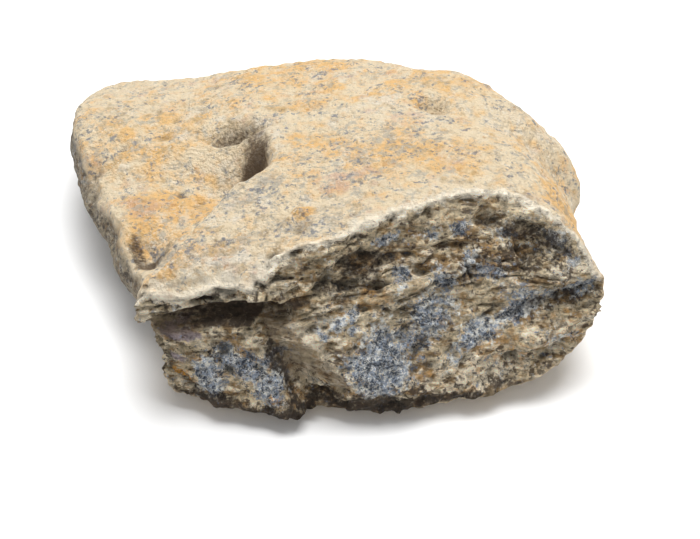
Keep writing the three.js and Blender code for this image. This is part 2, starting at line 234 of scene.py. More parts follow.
@dataclass(frozen=True)
class Room:
    """A room cut out of the bone under the lip, an ellipsoid turned about Y."""

    place: str
    x: float
    y: float
    z: float
    a: float
    b: float
    c: float
    turn: float

    def inside(self, x: Array, y: Array, z: Array) -> Array:
        """Depth inside the room: (1 - scaled distance from its middle) times its least half size, in mm."""
        angle = math.radians(self.turn)
        u = (x - self.x) * math.cos(angle) + (z - self.z) * math.sin(angle)
        w = (z - self.z) * math.cos(angle) - (x - self.x) * math.sin(angle)
        out = np.sqrt((u / self.a) ** 2 + ((y - self.y) / self.b) ** 2 + (w / self.c) ** 2)
        return (1 - out) * min(self.a, self.b, self.c)


@dataclass(frozen=True)
class Crust:
    """The domed outer face, with the low terrace at its left and the hollows in it."""

    crest: float = 22.6
    lengthwise: Knots = (
        (-40, -6), (-27, -5), (-20, -4.2), (-12, -3), (-3, -1.5), (8, -0.2), (15, 0), (24, -2.3),
        (33, -7),
    )
    depthwise: Knots = ((-16, -0.8), (-6, -0.2), (4, 0), (16, -0.2), (28, -1), (42, -3.2))
    step_line: Knots = (
        (-14, -28), (-11.7, -25.6), (-10, -22.8), (-4.5, -20), (0.6, -17.3), (5.4, -14.6),
        (10.2, -11.4), (20, -11), (30, -14), (42, -15),
    )
    step_drop: Knots = ((-14, 4.2), (0, 4.4), (8, 4.5), (14, 4.2), (20, 2), (30, 0.9), (42, 0.8))
    step_width: Knots = ((-12, 1.6), (0, 2.2), (8, 3.2), (15, 4), (24, 11), (42, 9))
    step_lead: float = 0.8
    hollows: tuple[Hollow, ...] = (
        Hollow("deep hole", -13.2, 10.6, 2.5, 3.7, -18, 7, 2),
        Hollow("mouth of the hole", -16.8, 12.6, 4, 4, 0, 1.8),
        Hollow("hollow behind it", -15.4, 20.6, 4.6, 1.3, -8, 2, 1.5),
        Hollow("small pit", 10.9, 20.2, 1.9, 1.5, -35, 2.4, 1.5),
        Hollow("tail of the small pit", 13.4, 18.8, 3, 1.3, -15, 0.7),
        Hollow("valley in the flank", 31.5, 14.6, 9.5, 3.3, -10, 5),
        Hollow("valley floor at the left", -24, 3.5, 8, 3, 45, 1.2),
        Hollow("front of the lip", -18.5, -13.6, 9.5, 2.8, 6, 2.4, 2),
        Hollow("bowl in the left corner", -25.2, 0.2, 2.2, 2.8, 12, 2.6),
        Hollow("bowl's arm beside the ridge", -23.4, -2.2, 2.6, 1.4, 28, 0.7),
        Hollow("terrace dent", -34.2, 17.3, 2, 1, -20, 1.1),
        Hollow("terrace pit", -31, 20.8, 1, 0.9, 0, 1),
        Hollow("flaked patch", -4.5, -1.5, 4.5, 3, 15, 0.5, 2),
        Hollow("low back corner", -39, 42, 9, 8, 0, 1.5),
        Hollow("rise at the back", -14, 43, 7, 6, 0, -0.5),
    )
    swell_height: float = 0.5
    swell_breadth: float = 11
    swell_layer: float = 0.5

    def height(self, x: Array, y: Array) -> Array:
        """Height of the face: a sum of two curves, less the terrace's step and the hollows, plus swells.

        Args:
            x: Places along the piece, in mm.
            y: Places from front to back, in mm.

        Returns:
            Heights above the ground, in mm.
        """
        into_terrace = Curve(self.step_line)(y) - x
        height = self.crest + Curve(self.lengthwise)(x) + Curve(self.depthwise)(y)
        step = smooth_step(-self.step_lead, Curve(self.step_width)(y), into_terrace)
        height -= Curve(self.step_drop)(y) * step
        for hollow in self.hollows:
            height -= hollow.fall(x, y)
        b = self.swell_breadth
        return height + self.swell_height * bumps(x / b, y / b, np.full_like(x, self.swell_layer))


@dataclass(frozen=True)
class Underside:
    """The face it rests on: flat under the thickest part, and rising slowly away from there."""

    x: float = -1.5
    y: float = 7.5
    radius_x: float = 13
    radius_y: float = 12
    rise: float = 1
    dip: float = 0.6
    swell_height: float = 0.55
    swell_breadth: float = 8
    swell_layer: float = 3.5
    swell_full_at: float = 1.7

    def height(self, x: Array, y: Array) -> Array:
        """Height of the face: below the ground inside the flat spot, then rise * (r - 1)^2 and swells.

        Args:
            x: Places along the piece, in mm.
            y: Places from front to back, in mm.

        Returns:
            Heights, in mm, that the ground cuts off below zero.
        """
        out = np.hypot((x - self.x) / self.radius_x, (y - self.y) / self.radius_y)
        b = self.swell_breadth
        random = 1 + bumps(x / b, y / b, np.full_like(x, self.swell_layer))
        swell = self.swell_height * random * smooth_step(1, self.swell_full_at, out)
        return np.where(out < 1, -self.dip * (1 - out), self.rise * (out - 1) ** 2 + swell)


@dataclass(frozen=True)
class Outline:
    """The outline seen from above, round a middle.

    Each point has x, y, the edge height, the roll of the top, the tuck of the base and the width of the
    chipped wall along the rim.
    """

    middle: tuple[float, float] = (-3, 12)
    points: tuple[tuple[float, float, float, float, float, float], ...] = (
        (-24, -15, 15, 0.9, 4, 0), (-12, -23.5, 9, 2, 4, 0), (8, -24, 8, 2, 4, 0),
        (24, -18, 8, 4, 8, 0), (30.6, -6.5, 11, 7, 10, 0), (29.6, 3, 10, 9, 13, 0),
        (29.6, 12, 9, 9, 14, 0), (32, 19, 8, 9, 14, 0), (24, 30, 9, 8, 14, 0), (11.5, 38, 10, 8, 14, 0),
        (-4, 44.6, 10, 8, 14, 0), (-15.5, 43.8, 10, 6, 14, 0), (-27.5, 44.8, 10, 5, 14, 0),
        (-38.4, 43, 10, 4, 14, 0), (-40, 31, 10.5, 2.4, 16, 0.4), (-37.2, 18.5, 10, 1.4, 16, 2),
        (-31.6, 6.6, 9, 1.2, 14, 1.7), (-28.4, -0.6, 8, 1.2, 9, 1.6), (-25.4, -7.5, 12, 1.4, 6, 0),
    )
    wave_height: float = 1
    wave_breadth: float = 9
    chip_slope: float = 2
    chip_breadth: float = 4
    chip_change: float = 0.6

    def curves(self) -> list[Curve]:
        """Radius, edge height, roll, tuck and chip as smooth curves of the angle, wrapped past both ends."""
        table = np.array(self.points, float)
        dx, dy = table[:, 0] - self.middle[0], table[:, 1] - self.middle[1]
        angle, radius = np.arctan2(dy, dx), np.hypot(dx, dy)
        order = np.argsort(angle)
        rows = np.column_stack([angle, radius, table[:, 2:]])[order]
        turn = np.array([2 * np.pi, 0, 0, 0, 0, 0])
        wrapped = np.vstack([rows[-2:] - turn, rows, rows[:2] + turn])
        return [Curve(tuple(zip(wrapped[:, 0], wrapped[:, c]))) for c in range(1, 6)]

    def slab(self, x: Array, y: Array, z: Array, crust: Crust, base: Underside) -> Array:
        """Below zero between the crust and the underside, and inside the outline.

        Both faces meet the outline's edge height along a quarter circle, sqrt(1 - (1 - t)^2), whose t is the
        distance inside the outline over the roll or the tuck. Where the rim is chipped, the crust first
        falls by a slope times the distance past the chip's top edge.

        Args:
            x: Places along the piece, in mm.
            y: Places from front to back, in mm.
            z: Heights, in mm.
            crust: The upper face.
            base: The lower face.

        Returns:
            Distances in mm, negative inside.
        """
        radius, edge, roll, tuck, chip = self.curves()
        dx, dy = x - self.middle[0], y - self.middle[1]
        angle = np.arctan2(dy, dx)
        b = self.wave_breadth
        inward = radius(angle) - np.hypot(dx, dy) + self.wave_height * bumps(x / b, y / b, z / b)
        over = np.clip(inward / roll(angle), 0, 1)
        under = np.clip(inward / tuck(angle), 0, 1)
        c = self.chip_breadth
        width = chip(angle) * (1 + self.chip_change * bumps(x / c, y / c, z / c))
        upper = crust.height(x, y) - self.chip_slope * np.maximum(width - inward, 0)
        top = mix(edge(angle), upper, np.sqrt(1 - (1 - over) ** 2))
        low = mix(edge(angle), base.height(x, y), np.sqrt(1 - (1 - under) ** 2))
        return np.where(inward > 0, np.maximum(z - top, low - z), -inward)


@dataclass(frozen=True)
class BreakFace:
    """The rough break at the front: a ruled slope with ridges and hollows, a smooth facet and a block."""

    foot: Knots = (
        (-26, -13.6), (-21, -16.2), (-12, -19.6), (-8, -21), (-2, -20.8), (2.4, -21.5), (8, -20.8),
        (14, -19), (20, -17), (27, -14.4), (31, -11),
    )
    edge: Knots = (
        (-26, -13.4), (-21, -12.8), (-12, -12), (-6, -10.6), (0, -8), (8, -3.6), (14, -1), (20, -1.2),
        (27, -4.2), (31, -6.2),
    )
    edge_height: Knots = (
        (-26, 16), (-12, 17.5), (0, 19.5), (8, 21.3), (14, 22), (20, 20.8), (27, 18), (31, 14),
    )
    lean: float = 0.88
    hollows: tuple[Hollow, ...] = (
        Hollow("under the crust", 2.2, 16.8, 5.5, 2, 14, 1.7),
        Hollow("ledge under that", 9.2, 14.9, 5.5, 0.9, 12, -1),
        Hollow("dark pit at the right", 21.8, 16, 2.5, 1.6, -20, 2),
        Hollow("nose ridge", 27, 14.3, 5.5, 1.4, 6, -1.3),
        Hollow("groove under the nose", 25, 11.5, 7, 1.1, 14, 1.5),
        Hollow("second ridge", 24.5, 8.8, 5.5, 1, 8, -0.8),
        Hollow("lower groove", 21.5, 6, 5, 0.9, 6, 0.9),
        Hollow("short ledge", 10.8, 10.9, 2.6, 0.6, -5, -0.6),
        Hollow("undercut foot", 5.5, 1.4, 9.5, 2.8, 0, 2, 2),
        Hollow("cave in the foot", -3, 2.4, 3.4, 1.5, 0, 1.1),
        Hollow("lower edge of the lip", -17.5, 13.9, 9, 1.2, 8, -1.3),
        Hollow("bulge beside the facet", -2.6, 13.8, 3, 2.2, -35, -0.9),
    )
    facet_from: tuple[float, float] = (-7.6, 13)
    facet_to: tuple[float, float] = (-0.6, 6.9)
    facet_slope: float = 0.72
    facet_right: float = -0.2
    facet_right_slope: float = 1.5
    facet_heights: tuple[float, float] = (0.5, 5)
    groove_foot: float = -5
    groove_lean: float = 0.46
    groove_wall: float = 2.2
    groove_cut: float = 1.7
    groove_half_width: float = 0.5
    groove_heights: tuple[float, float] = (2, 5)
    groove_ends: tuple[float, float] = (13.8, 12.4)
    block_set_back: float = 0.5
    lump_height: float = 0.8
    lump_breadth: float = 6.5
    knob_height: float = 0.5
    knob_breadth: float = 3
    knob_stretch: float = 2
    knob_layer: float = 7

    def into_facet(self, x: Array, z: Array) -> Array:
        """Distance in mm below the facet's crest line or left of its right edge, whichever is the less."""
        run = self.facet_to[0] - self.facet_from[0]
        rise = self.facet_to[1] - self.facet_from[1]
        length = math.hypot(run, rise)
        below = ((x - self.facet_from[0]) * rise - (z - self.facet_from[1]) * run) / length
        return np.minimum(below, self.facet_right_slope * (self.facet_right - x))

    def past_groove(self, x: Array, z: Array) -> Array:
        """Distance in mm to the right of the leaning groove between the block and the facet."""
        return x - (self.groove_foot - self.groove_lean * z)

    def relief(self, x: Array, z: Array) -> Array:
        """How far the break stands out from its ruled slope.

        Ridges less hollows; within the facet the slope falls away below the crest until it meets the block,
        which is set back past a groove with a wall, and a narrow crack runs down the groove.

        Args:
            x: Places along the piece, in mm.
            z: Heights, in mm.

        Returns:
            Distances towards the front, in mm.
        """
        relief = np.zeros_like(x)
        for hollow in self.hollows:
            relief -= hollow.fall(x, z)
        into = self.into_facet(x, z)
        facet = -self.facet_slope * np.maximum(into, 0) * smooth_step(*self.facet_heights, z)
        past = self.past_groove(x, z)
        block = -self.block_set_back - self.groove_wall * np.maximum(past, 0)
        crack = self.groove_cut * np.exp(-((past / self.groove_half_width) ** 2))
        crack = crack * smooth_step(*self.groove_ends, z)
        cut = np.maximum(relief + facet, block) - crack * smooth_step(*self.groove_heights, z)
        return np.where(into > 0, cut, relief)

    def value(self, x: Array, y: Array, z: Array) -> Array:
        """Below zero behind the break.

        The slope is ruled between the foot curve on the ground and the edge curve at the edge's height; the
        relief and two sizes of lumps stand out from it.

        Args:
            x: Places along the piece, in mm.
            y: Places from front to back, in mm.
            z: Heights, in mm.

        Returns:
            Distances in mm, negative inside.
        """
        share = z / Curve(self.edge_height)(x)
        ruled = mix(Curve(self.foot)(x), Curve(self.edge)(x), share)
        b = self.lump_breadth
        lumps = self.lump_height * bumps(x / b, y / b, z / b)
        k = self.knob_breadth
        knobs = self.knob_height * bumps(x / (k * self.knob_stretch), y / k, z / k + self.knob_layer)
        return (ruled - y) * self.lean - self.relief(x, z) - lumps - knobs


@dataclass(frozen=True)
class ScuteForm:
    """The whole form: the slab behind the break, less the rooms under the lip, cut off by the ground."""

    crust: Crust = Crust()
    base: Underside = Underside()
    outline: Outline = Outline()
    face: BreakFace = BreakFace()
    rooms: tuple[Room, ...] = (
        Room("recess under the lip", -15.8, -13.4, 12.9, 9.3, 3.4, 1.05, 10),
        Room("cave over the facet", -8.6, -13, 13.3, 2.1, 3, 1.1, 0),
        Room("hollow left of the block", -25.5, -12, 6.5, 3.4, 6, 5.2, 0),
    )
    edge_rounding: float = 0.35
    room_rounding: float = 0.4

    def value(self, x: Array, y: Array, z: Array) -> Array:
        """Below zero inside the fossil: the rounded greatest of the slab, the break and the rooms.

        Args:
            x: Places along the piece, in mm.
            y: Places from front to back, in mm.
            z: Heights, in mm.

        Returns:
            Distances in mm, negative inside.
        """
        slab = self.outline.slab(x, y, z, self.crust, self.base)
        value = rounded_max(slab, self.face.value(x, y, z), self.edge_rounding)
        for room in self.rooms:
            value = rounded_max(value, room.inside(x, y, z), self.room_rounding)
        return np.maximum(value, -z)


@dataclass(frozen=True)
class BoxLattice:
    """The six gridded faces of a box, each line of whose surface sends one ray out to the fossil's skin."""

    x: int = 190
    y: int = 108
    z: int = 98
    front_crowding: float = 1.2
    core: tuple[float, float, float] = (-3.5, 12.5, 9.5)
    half: tuple[float, float, float] = (23.5, 14.5, 2.5)
    left_drop: float = 2.4
    splay: float = 3
    widen: float = 2
    front_tilt: float = 0.4
    stride: float = 0.5
    least_stride: float = 0.25
    greatest_stride: float = 2.5
    halvings: int = 14

    def surface(self) -> tuple[Array, Array]:
        """Number the lattice points on the box's faces and join them in quads.

        Returns:
            The points' places from -1 to 1 as rows, and the quads as rows of four point numbers.
        """
        nx, ny, nz = self.x, self.y, self.z
        shell = np.zeros((nx + 1, ny + 1, nz + 1), bool)
        shell[[0, -1]] = shell[:, [0, -1]] = shell[:, :, [0, -1]] = True
        number = np.full(shell.shape, -1, np.int32)
        number[shell] = np.arange(shell.sum())
        i, j, k = np.nonzero(shell)
        places = np.stack([2 * i / nx - 1, 2 * (j / ny) ** self.front_crowding - 1, 2 * k / nz - 1], 1)

        def quads(sheet: Array, flip: bool) -> Array:
            """The quads of one face, wound so that they look outwards."""
            ring = [sheet[:-1, :-1], sheet[1:, :-1], sheet[1:, 1:], sheet[:-1, 1:]]
            return np.stack([c.ravel() for c in (ring[::-1] if flip else ring)], 1)

        faces = [
            quads(number[:, :, -1], False),
            quads(number[:, :, 0], True),
            quads(number[:, 0, :], False),
            quads(number[:, -1, :], True),
            quads(number[-1], False),
            quads(number[0], True),
        ]
        return places, np.vstack(faces)

    def rays(self, places: Array) -> tuple[Array, Array]:
        """Where each ray starts on the flat core and which way it goes. Rays fan out and never cross.

        The sideways parts of the direction are p * |p|, so that rays from the middle of a face run straight;
        the upward part is (p + p * |p|) / 2, tilted up towards the front.

        Args:
            places: Rows of lattice places from -1 to 1.

        Returns:
            Starting points in mm and unit directions, as rows.
        """
        px, py, pz = places.T
        fan_x, fan_y = px * np.abs(px), py * np.abs(py)
        lift = (pz + pz * np.abs(pz)) / 2 + self.front_tilt * np.maximum(-fan_y, 0)
        way = np.stack([fan_x, fan_y, lift], 1)
        start_x = self.core[0] - self.splay * py + (self.half[0] + self.widen * py) * px
        start_z = self.core[2] + self.half[2] * pz + self.left_drop * px
        start = np.stack([start_x, self.core[1] + self.half[1] * py, start_z], 1)
        return start, way / np.linalg.norm(way, axis=1, keepdims=True)

    def skin(self, form: ScuteForm, places: Array) -> Array:
        """Follow each ray to the first place where the fossil ends.

        Each ray steps on by a share of its depth inside, and once it is outside, its last step is halved
        again and again.

        Args:
            form: The form whose skin is sought.
            places: Rows of lattice places from -1 to 1.

        Returns:
            Points on the skin as rows, in mm.
        """
        start, way = self.rays(places)
        inner = np.zeros(len(start))
        outer = np.zeros(len(start))
        going = np.arange(len(start))
        while going.size:
            value = form.value(*(start[going] + way[going] * outer[going, None]).T)
            going, value = going[value < 0], value[value < 0]
            inner[going] = outer[going]
            outer[going] += np.clip(-value * self.stride, self.least_stride, self.greatest_stride)
        for _ in range(self.halvings):
            middle = (inner + outer) / 2
            inside = form.value(*(start + way * middle[:, None]).T) < 0
            inner = np.where(inside, middle, inner)
            outer = np.where(inside, outer, middle)
        return start + way * inner[:, None]


def vertex_normals(points: Array, quads: Array) -> Array:
    """Unit normals at the vertices: the sum of the crossed diagonals of the quads round each.

    Args:
        points: Vertex places as rows.
        quads: Rows of four vertex numbers.

    Returns:
        Unit normals as rows.
    """
    crossed = np.cross(points[quads[:, 2]] - points[quads[:, 0]], points[quads[:, 3]] - points[quads[:, 1]])
    count = len(points)
    sums = [sum(np.bincount(corner, part, count) for corner in quads.T) for part in crossed.T]
    total = np.stack(sums, 1)
    return total / np.maximum(np.linalg.norm(total, axis=1, keepdims=True), 1e-12)


@dataclass(frozen=True)
class BoneRelief:
    """The fine relief of the skin: grain and dimples of the crust, fibres, ledges and pores of the break."""

    layer_rise: Knots = ((-24, -1.2), (-17.5, -4), (-10, -2.2), (0, 0), (10, 2.2), (20, 4.8), (30, 8.4))
    crust_layers: tuple[float, float] = (10, 17)
    ledge_spacing: float = 1.9
    ledge_height: float = 0.7
    ledge_lip: float = 0.14
    ledge_middle: float = 0.45
    ledge_wander: tuple[float, float] = (0.9, 0.25)
    wander_breadth: tuple[float, float] = (6, 1.6)
    ledge_least: float = 0.25
    ledge_patch: tuple[float, float] = (-0.35, 0.35)
    ledge_patch_breadth: float = 7
    ledge_patch_height: float = 4
    ledge_fade: tuple[float, float] = (8, 16)
    ledge_at_right: float = 0.45
    fibre_length: float = 4.5
    fibre_depth: float = 2.5
    fibre_breadth: float = 1.15
    fibre_height: float = 0.34
    fibre_middle: float = 0.4
    crevice_length: float = 5
    crevice_breadth: float = 1.8
    crevice_width: float = 0.1
    crevice_depth: float = 0.6
    crevice_patch: tuple[float, float] = (-0.3, 0.4)
    crevice_patch_breadth: float = 4
    crevice_clear: tuple[float, float] = (0.2, 0.9)
    mineral_fill: float = 0.7
    lump_breadth: float = 2.3
    lump_height: float = 0.45
    crumb_breadth: float = 1
    crumb_height: float = 0.34
    grit_breadth: float = 0.62
    grit_height: float = 0.2
    pore_cell: float = 1.5
    pore_chance: float = 0.35
    pore_radius: tuple[float, float] = (0.1, 0.26)
    pore_depth: float = 0.5
    chip_height: float = 0.5
    chip_breadth: float = 1.5
    chip_reach: float = 1.3
    named: tuple[Hollow, ...] = (
        Hollow("crack down the face", 14.5, 14.8, 0.28, 1.7, 22, 1),
        Hollow("pale slab left of the crack", 12.4, 15.5, 1.5, 0.7, 8, -0.5, 2),
        Hollow("ledge edge", 9.4, 15.3, 4.2, 0.35, 9, -0.5),
        Hollow("shadow line under the ledge", 8.6, 14.3, 4.5, 0.3, 9, 0.6),
        Hollow("short ledge's shadow", 10.8, 10.3, 2.2, 0.25, -5, 0.5),
        Hollow("crevice in the lip", -16.2, 14.7, 2.3, 0.45, -8, 1.1),
        Hollow("hole in the fibres", -3.5, 16.2, 0.9, 0.5, 8, 1.2),
        Hollow("splinter", -7, 16.9, 1.8, 0.3, -6, -0.7),
        Hollow("groove over the splinter", -7.4, 17.5, 1.8, 0.3, -6, 0.6),
        Hollow("left pillar gap", -10.9, 16.2, 0.22, 0.8, 8, 0.9),
        Hollow("right pillar gap", -9.7, 16, 0.22, 0.9, -4, 0.9),
        Hollow("pit in the block", -14.4, 7.1, 0.9, 0.5, -25, 0.9),
        Hollow("fold in the block", -12.3, 6.2, 1.5, 0.4, -30, -0.5),
        Hollow("dark corner of the block", -15, 9.2, 1, 0.7, -20, 0.7),
        Hollow("nodule", -9.2, 4.1, 0.8, 0.7, 0, -0.45, 2),
        Hollow("upper hollow over the facet", 0.2, 18, 1.8, 0.6, 30, 0.9),
        Hollow("middle hollow over the facet", -0.6, 15.4, 1.6, 0.6, -35, 0.9),
        Hollow("right hollow over the facet", 3.2, 15, 1.6, 0.4, -10, 0.8),
        Hollow("first seam in the block's end", -20.6, 6.9, 2.2, 0.22, -22, 0.5),
        Hollow("second seam in the block's end", -20.4, 5.9, 2.2, 0.18, -24, 0.4),
        Hollow("third seam in the block's end", -20.2, 5, 2.2, 0.2, -26, 0.45),
        Hollow("fourth seam in the block's end", -19.8, 4.1, 2.2, 0.2, -24, 0.4),
    )
    crust_named: tuple[Hollow, ...] = (
        Hollow("crumb", -6, -2, 1.1, 0.7, 20, -0.6),
        Hollow("flake edge", -7.7, -4, 2.2, 0.4, 62, -0.5),
        Hollow("hollow beside the flake", -6.2, -4.6, 1.8, 1.1, 50, 0.5),
        Hollow("pit near the break", -8.9, -9.3, 1, 0.6, 10, 0.9),
        Hollow("chip near the crest", 2.2, 0.4, 1.2, 0.4, 15, -0.35),
        Hollow("groove beside it", 2.4, -0.4, 1.3, 0.4, 15, 0.4),
        Hollow("far dent in the terrace", -25.6, 22, 1.3, 0.8, 10, 0.6),
        Hollow("left dent by the hole", -22, 12, 0.9, 0.8, 0, 0.5),
        Hollow("right dent by the hole", -19.4, 11.2, 1, 0.6, 20, 0.5),
    )
    swell_breadth: float = 3.4
    swell_height: float = 0.26
    grain_breadth: float = 1.3
    grain_height: float = 0.22
    sand_breadth: float = 0.75
    sand_height: float = 0.1
    dimple_cell: float = 2.2
    dimple_chance: float = 0.5
    dimple_radius: tuple[float, float] = (0.15, 0.36)
    dimple_depth: float = 0.4
    dimple_elsewhere: float = 0.4
    dimple_from: tuple[float, float] = (-12, -20)
    flake_patch: tuple[float, float, float, float] = (-5, -4.5, 6.5, 4)
    flake_length: float = 2.2
    flake_slant: float = 3
    flake_breadth: float = 1.2
    flake_height: float = 0.3
    flake_middle: float = 0.3
    crust_top: tuple[float, float] = (9, 12)
    edge_blur: float = 0.4
    edge_wander: float = 0.35
    edge_wander_breadth: float = 1.3
    facet_edge: tuple[float, float] = (0, 0.6)
    facet_left: tuple[float, float] = (-0.2, 0.5)
    facet_foot: tuple[float, float] = (3.5, 5.5)
    facet_head: tuple[float, float] = (14, 12.5)
    room_skin: tuple[float, float] = (-0.35, -0.1)
    smooth_share: float = 0.35

    def strata(self, form: ScuteForm, x: Array, z: Array) -> Array:
        """Height across the bone's layers, which follow the crust above and their own bend below."""
        top = Curve(form.face.edge_height)(x)
        near_crust = smooth_step(*self.crust_layers, z)
        return z - mix(Curve(self.layer_rise)(x), top - form.crust.crest, near_crust)

    def past_edge(self, form: ScuteForm, p: tuple[Array, ...]) -> Array:
        """Distance past the edge of the crust: below zero on the crust, above zero on the break or a room.

        On the crust it is minus the distance to the break, and on the break the distance below the crust.

        Args:
            form: The form that the points lie on.
            p: Points as three arrays, in mm.

        Returns:
            Distances in mm.
        """
        x, y, z = p
        cut = form.face.value(x, y, z)
        for room in form.rooms:
            cut = np.maximum(cut, room.inside(x, y, z))
        return cut - form.outline.slab(x, y, z, form.crust, form.base)

    def ledges(self, p: tuple[Array, ...], s: Array) -> Array:
        """Heights of the layers' ledges, which come in patches and are lower at the right.

        Each layer stands out at its foot and slopes back above: smooth(t / lip) * (1 - t), where t runs
        from 0 to 1 across it and wanders with two sizes of bumps.

        Args:
            p: Points as three arrays, in mm.
            s: Heights across the layers, in mm.

        Returns:
            Heights in mm.
        """
        x, y, z = p
        broad, fine = self.wander_breadth
        swing, shake = self.ledge_wander
        wander = swing * bumps(x / broad, y / broad, 2 * s / broad + 3)
        wander += shake * bumps(x / fine, y / fine, s / fine)
        t = (s / self.ledge_spacing + wander) % 1.0
        ledge = smooth_step(0, self.ledge_lip, t) * (1 - t) - self.ledge_middle
        b = self.ledge_patch_breadth
        patch = smooth_step(*self.ledge_patch, bumps(x / b + 4, y / b, z / self.ledge_patch_height))
        to_right = mix(1, self.ledge_at_right, smooth_step(*self.ledge_fade, x))
        return self.ledge_height * ledge * mix(self.ledge_least, 1, patch) * to_right

    def fibres(self, p: tuple[Array, ...], s: Array) -> Array:
        """Heights of long ridges along the layers, height * (1 - 2|n| - middle) with n drawn-out bumps."""
        x, y, _ = p
        n = bumps(x / self.fibre_length, y / self.fibre_depth, s / self.fibre_breadth)
        return self.fibre_height * (1 - 2 * np.abs(n) - self.fibre_middle)

    def crevices(self, p: tuple[Array, ...], s: Array, past: Array) -> Array:
        """Depths of narrow crevices between the layers.

        A crevice is depth * exp(-(n / width)^2), with n drawn-out bumps. They come in patches, and none
        reaches the crust.

        Args:
            p: Points as three arrays, in mm.
            s: Heights across the layers, in mm.
            past: Distances past the crust's edge, in mm.

        Returns:
            Depths in mm.
        """
        x, y, _ = p
        n = bumps(x / self.crevice_length + 20, y / 4, s / self.crevice_breadth)
        b = self.crevice_patch_breadth
        patch = smooth_step(*self.crevice_patch, bumps(x / b, y / b, 2 * s / b + 40))
        clear = smooth_step(*self.crevice_clear, past)
        return self.crevice_depth * np.exp(-((n / self.crevice_width) ** 2)) * patch * clear

    def of_break(self, form: ScuteForm, p: tuple[Array, ...], past: Array, mineral: Array) -> Array:
        """Height of the break's fine relief, with lower ledges and fibres where mineral fills the bone.

        Ledges, fibres and crevices follow the layers; lumps, crumbs and grit are bumps of three sizes; pores
        and the named features come last.

        Args:
            form: The form that the points lie on.
            p: Points as three arrays, in mm.
            past: Distances past the crust's edge, in mm.
            mineral: Share of each point that mineral fills.

        Returns:
            Heights in mm, positive outwards.
        """
        x, y, z = p
        s = self.strata(form, x, z)
        layered = self.ledges(p, s) + self.fibres(p, s) - self.crevices(p, s, past)
        lump = bumps(*(c / self.lump_breadth for c in p))
        crumb = bumps(x / self.crumb_breadth, y / self.crumb_breadth, s / self.crumb_breadth + 5)
        grit = bumps(*(c / self.grit_breadth + 60 for c in p))
        pore = pits(*(c / self.pore_cell for c in p), self.pore_chance, *self.pore_radius)
        return (
            layered * (1 - self.mineral_fill * np.clip(mineral, 0, 1))
            + self.lump_height * lump
            + self.crumb_height * crumb
            + self.grit_height * grit
            - self.pore_depth * pore
            - sum(hollow.fall(x, z) for hollow in self.named)
        )

    def of_edge(self, p: tuple[Array, ...], past: Array) -> Array:
        """Crumbling along the crust's edge: bumps of two sizes, times exp(-(distance / reach)^2)."""
        x, y, z = (c / self.chip_breadth for c in p)
        crumbs = bumps(x + 70, y, z) + 0.5 * bumps(2 * x + 80, 2 * y, 2 * z)
        return self.chip_height * crumbs * np.exp(-((past / self.chip_reach) ** 2))

    def of_crust(self, p: tuple[Array, ...]) -> Array:
        """Height of the crust's fine relief.

        Low swells, grain and sand are bumps of three sizes; dimples crowd on the terrace; in the flaked
        patch short ridges 1 - 2|n| stand up; the named features come last.

        Args:
            p: Points as three arrays, in mm.

        Returns:
            Heights in mm, positive outwards.
        """
        x, y, z = p
        swell = self.swell_height * bumps(*(c / self.swell_breadth + 11 for c in p))
        grain = self.grain_height * bumps(*(c / self.grain_breadth for c in p))
        sand = self.sand_height * bumps(*(c / self.sand_breadth for c in p))
        terrace = mix(self.dimple_elsewhere, 1, smooth_step(*self.dimple_from, x))
        dimple = pits(*(c / self.dimple_cell for c in p), self.dimple_chance, *self.dimple_radius)
        patch_x, patch_y, a, b = self.flake_patch
        patch = np.exp(-(((x - patch_x) / a) ** 2) - ((y - patch_y) / b) ** 2)
        along = x / self.flake_length + y / self.flake_slant
        ragged = 1 - 2 * np.abs(bumps(along, y / self.flake_breadth, z / 2 + 30))
        flakes = self.flake_height * patch * (ragged - self.flake_middle)
        named = smooth_step(*self.crust_top, z) * sum(hollow.fall(x, y) for hollow in self.crust_named)
        return swell + grain + sand + flakes - self.dimple_depth * terrace * dimple - named

    def broken_share(self, p: tuple[Array, ...], past: Array) -> Array:
        """Share of each point that belongs to the break, which rises across the crust's wandering edge."""
        wander = self.edge_wander * bumps(*(c / self.edge_wander_breadth for c in p))
        return smooth_step(-self.edge_blur, self.edge_blur, past + wander)

    def smooth_wall(self, form: ScuteForm, p: tuple[Array, ...]) -> Array:
        """How far each point lies on the facet or on a wall of the recess, where the bone parted cleanly."""
        x, y, z = p
        facet = smooth_step(*self.facet_edge, form.face.into_facet(x, z))
        facet = facet * smooth_step(*self.facet_left, form.face.past_groove(x, z))
        facet = facet * smooth_step(*self.facet_foot, z) * smooth_step(*self.facet_head, z)
        room = np.maximum.reduce([r.inside(x, y, z) for r in form.rooms[:2]])
        return np.maximum(facet, smooth_step(*self.room_skin, room))


class Stain(Enum):
    """What a patch of colour in the bone is."""

    SLATE = "slate"
    OCHRE = "ochre"
    CREAM = "cream"
    UMBER = "umber"
    MAUVE = "mauve"
    # Dirt and painted shade: dark in the hole, pits, grooves, recess and under overhangs, where shade falls.
    DIRT_AND_SHADE = "dirt_and_shade"


@dataclass(frozen=True)
class Patch:
    """A soft patch of one stain: middle, half sizes, strength and turn. On the break, up is the height Z."""

    stain: Stain
    x: float
    up: float
    a: float
    b: float
    strength: float = 1.0
    turn: float = 0.0

    def at(self, u: Array, v: Array) -> Array:
        """Strength at each point: strength * exp(-r^3), with r the turned distance over the half sizes."""
        angle = math.radians(self.turn)
        du, dv = u - self.x, v - self.up
        along = (du * math.cos(angle) + dv * math.sin(angle)) / self.a
        aside = (dv * math.cos(angle) - du * math.sin(angle)) / self.b
        return self.strength * np.exp(-((along * along + aside * aside) ** 1.5))


def patches(stain: Stain, *rows: tuple[float, ...]) -> tuple[Patch, ...]:
    """Patches of one stain, each made from one row of numbers in the order of the patch's fields."""
    return tuple(Patch(stain, *row) for row in rows)


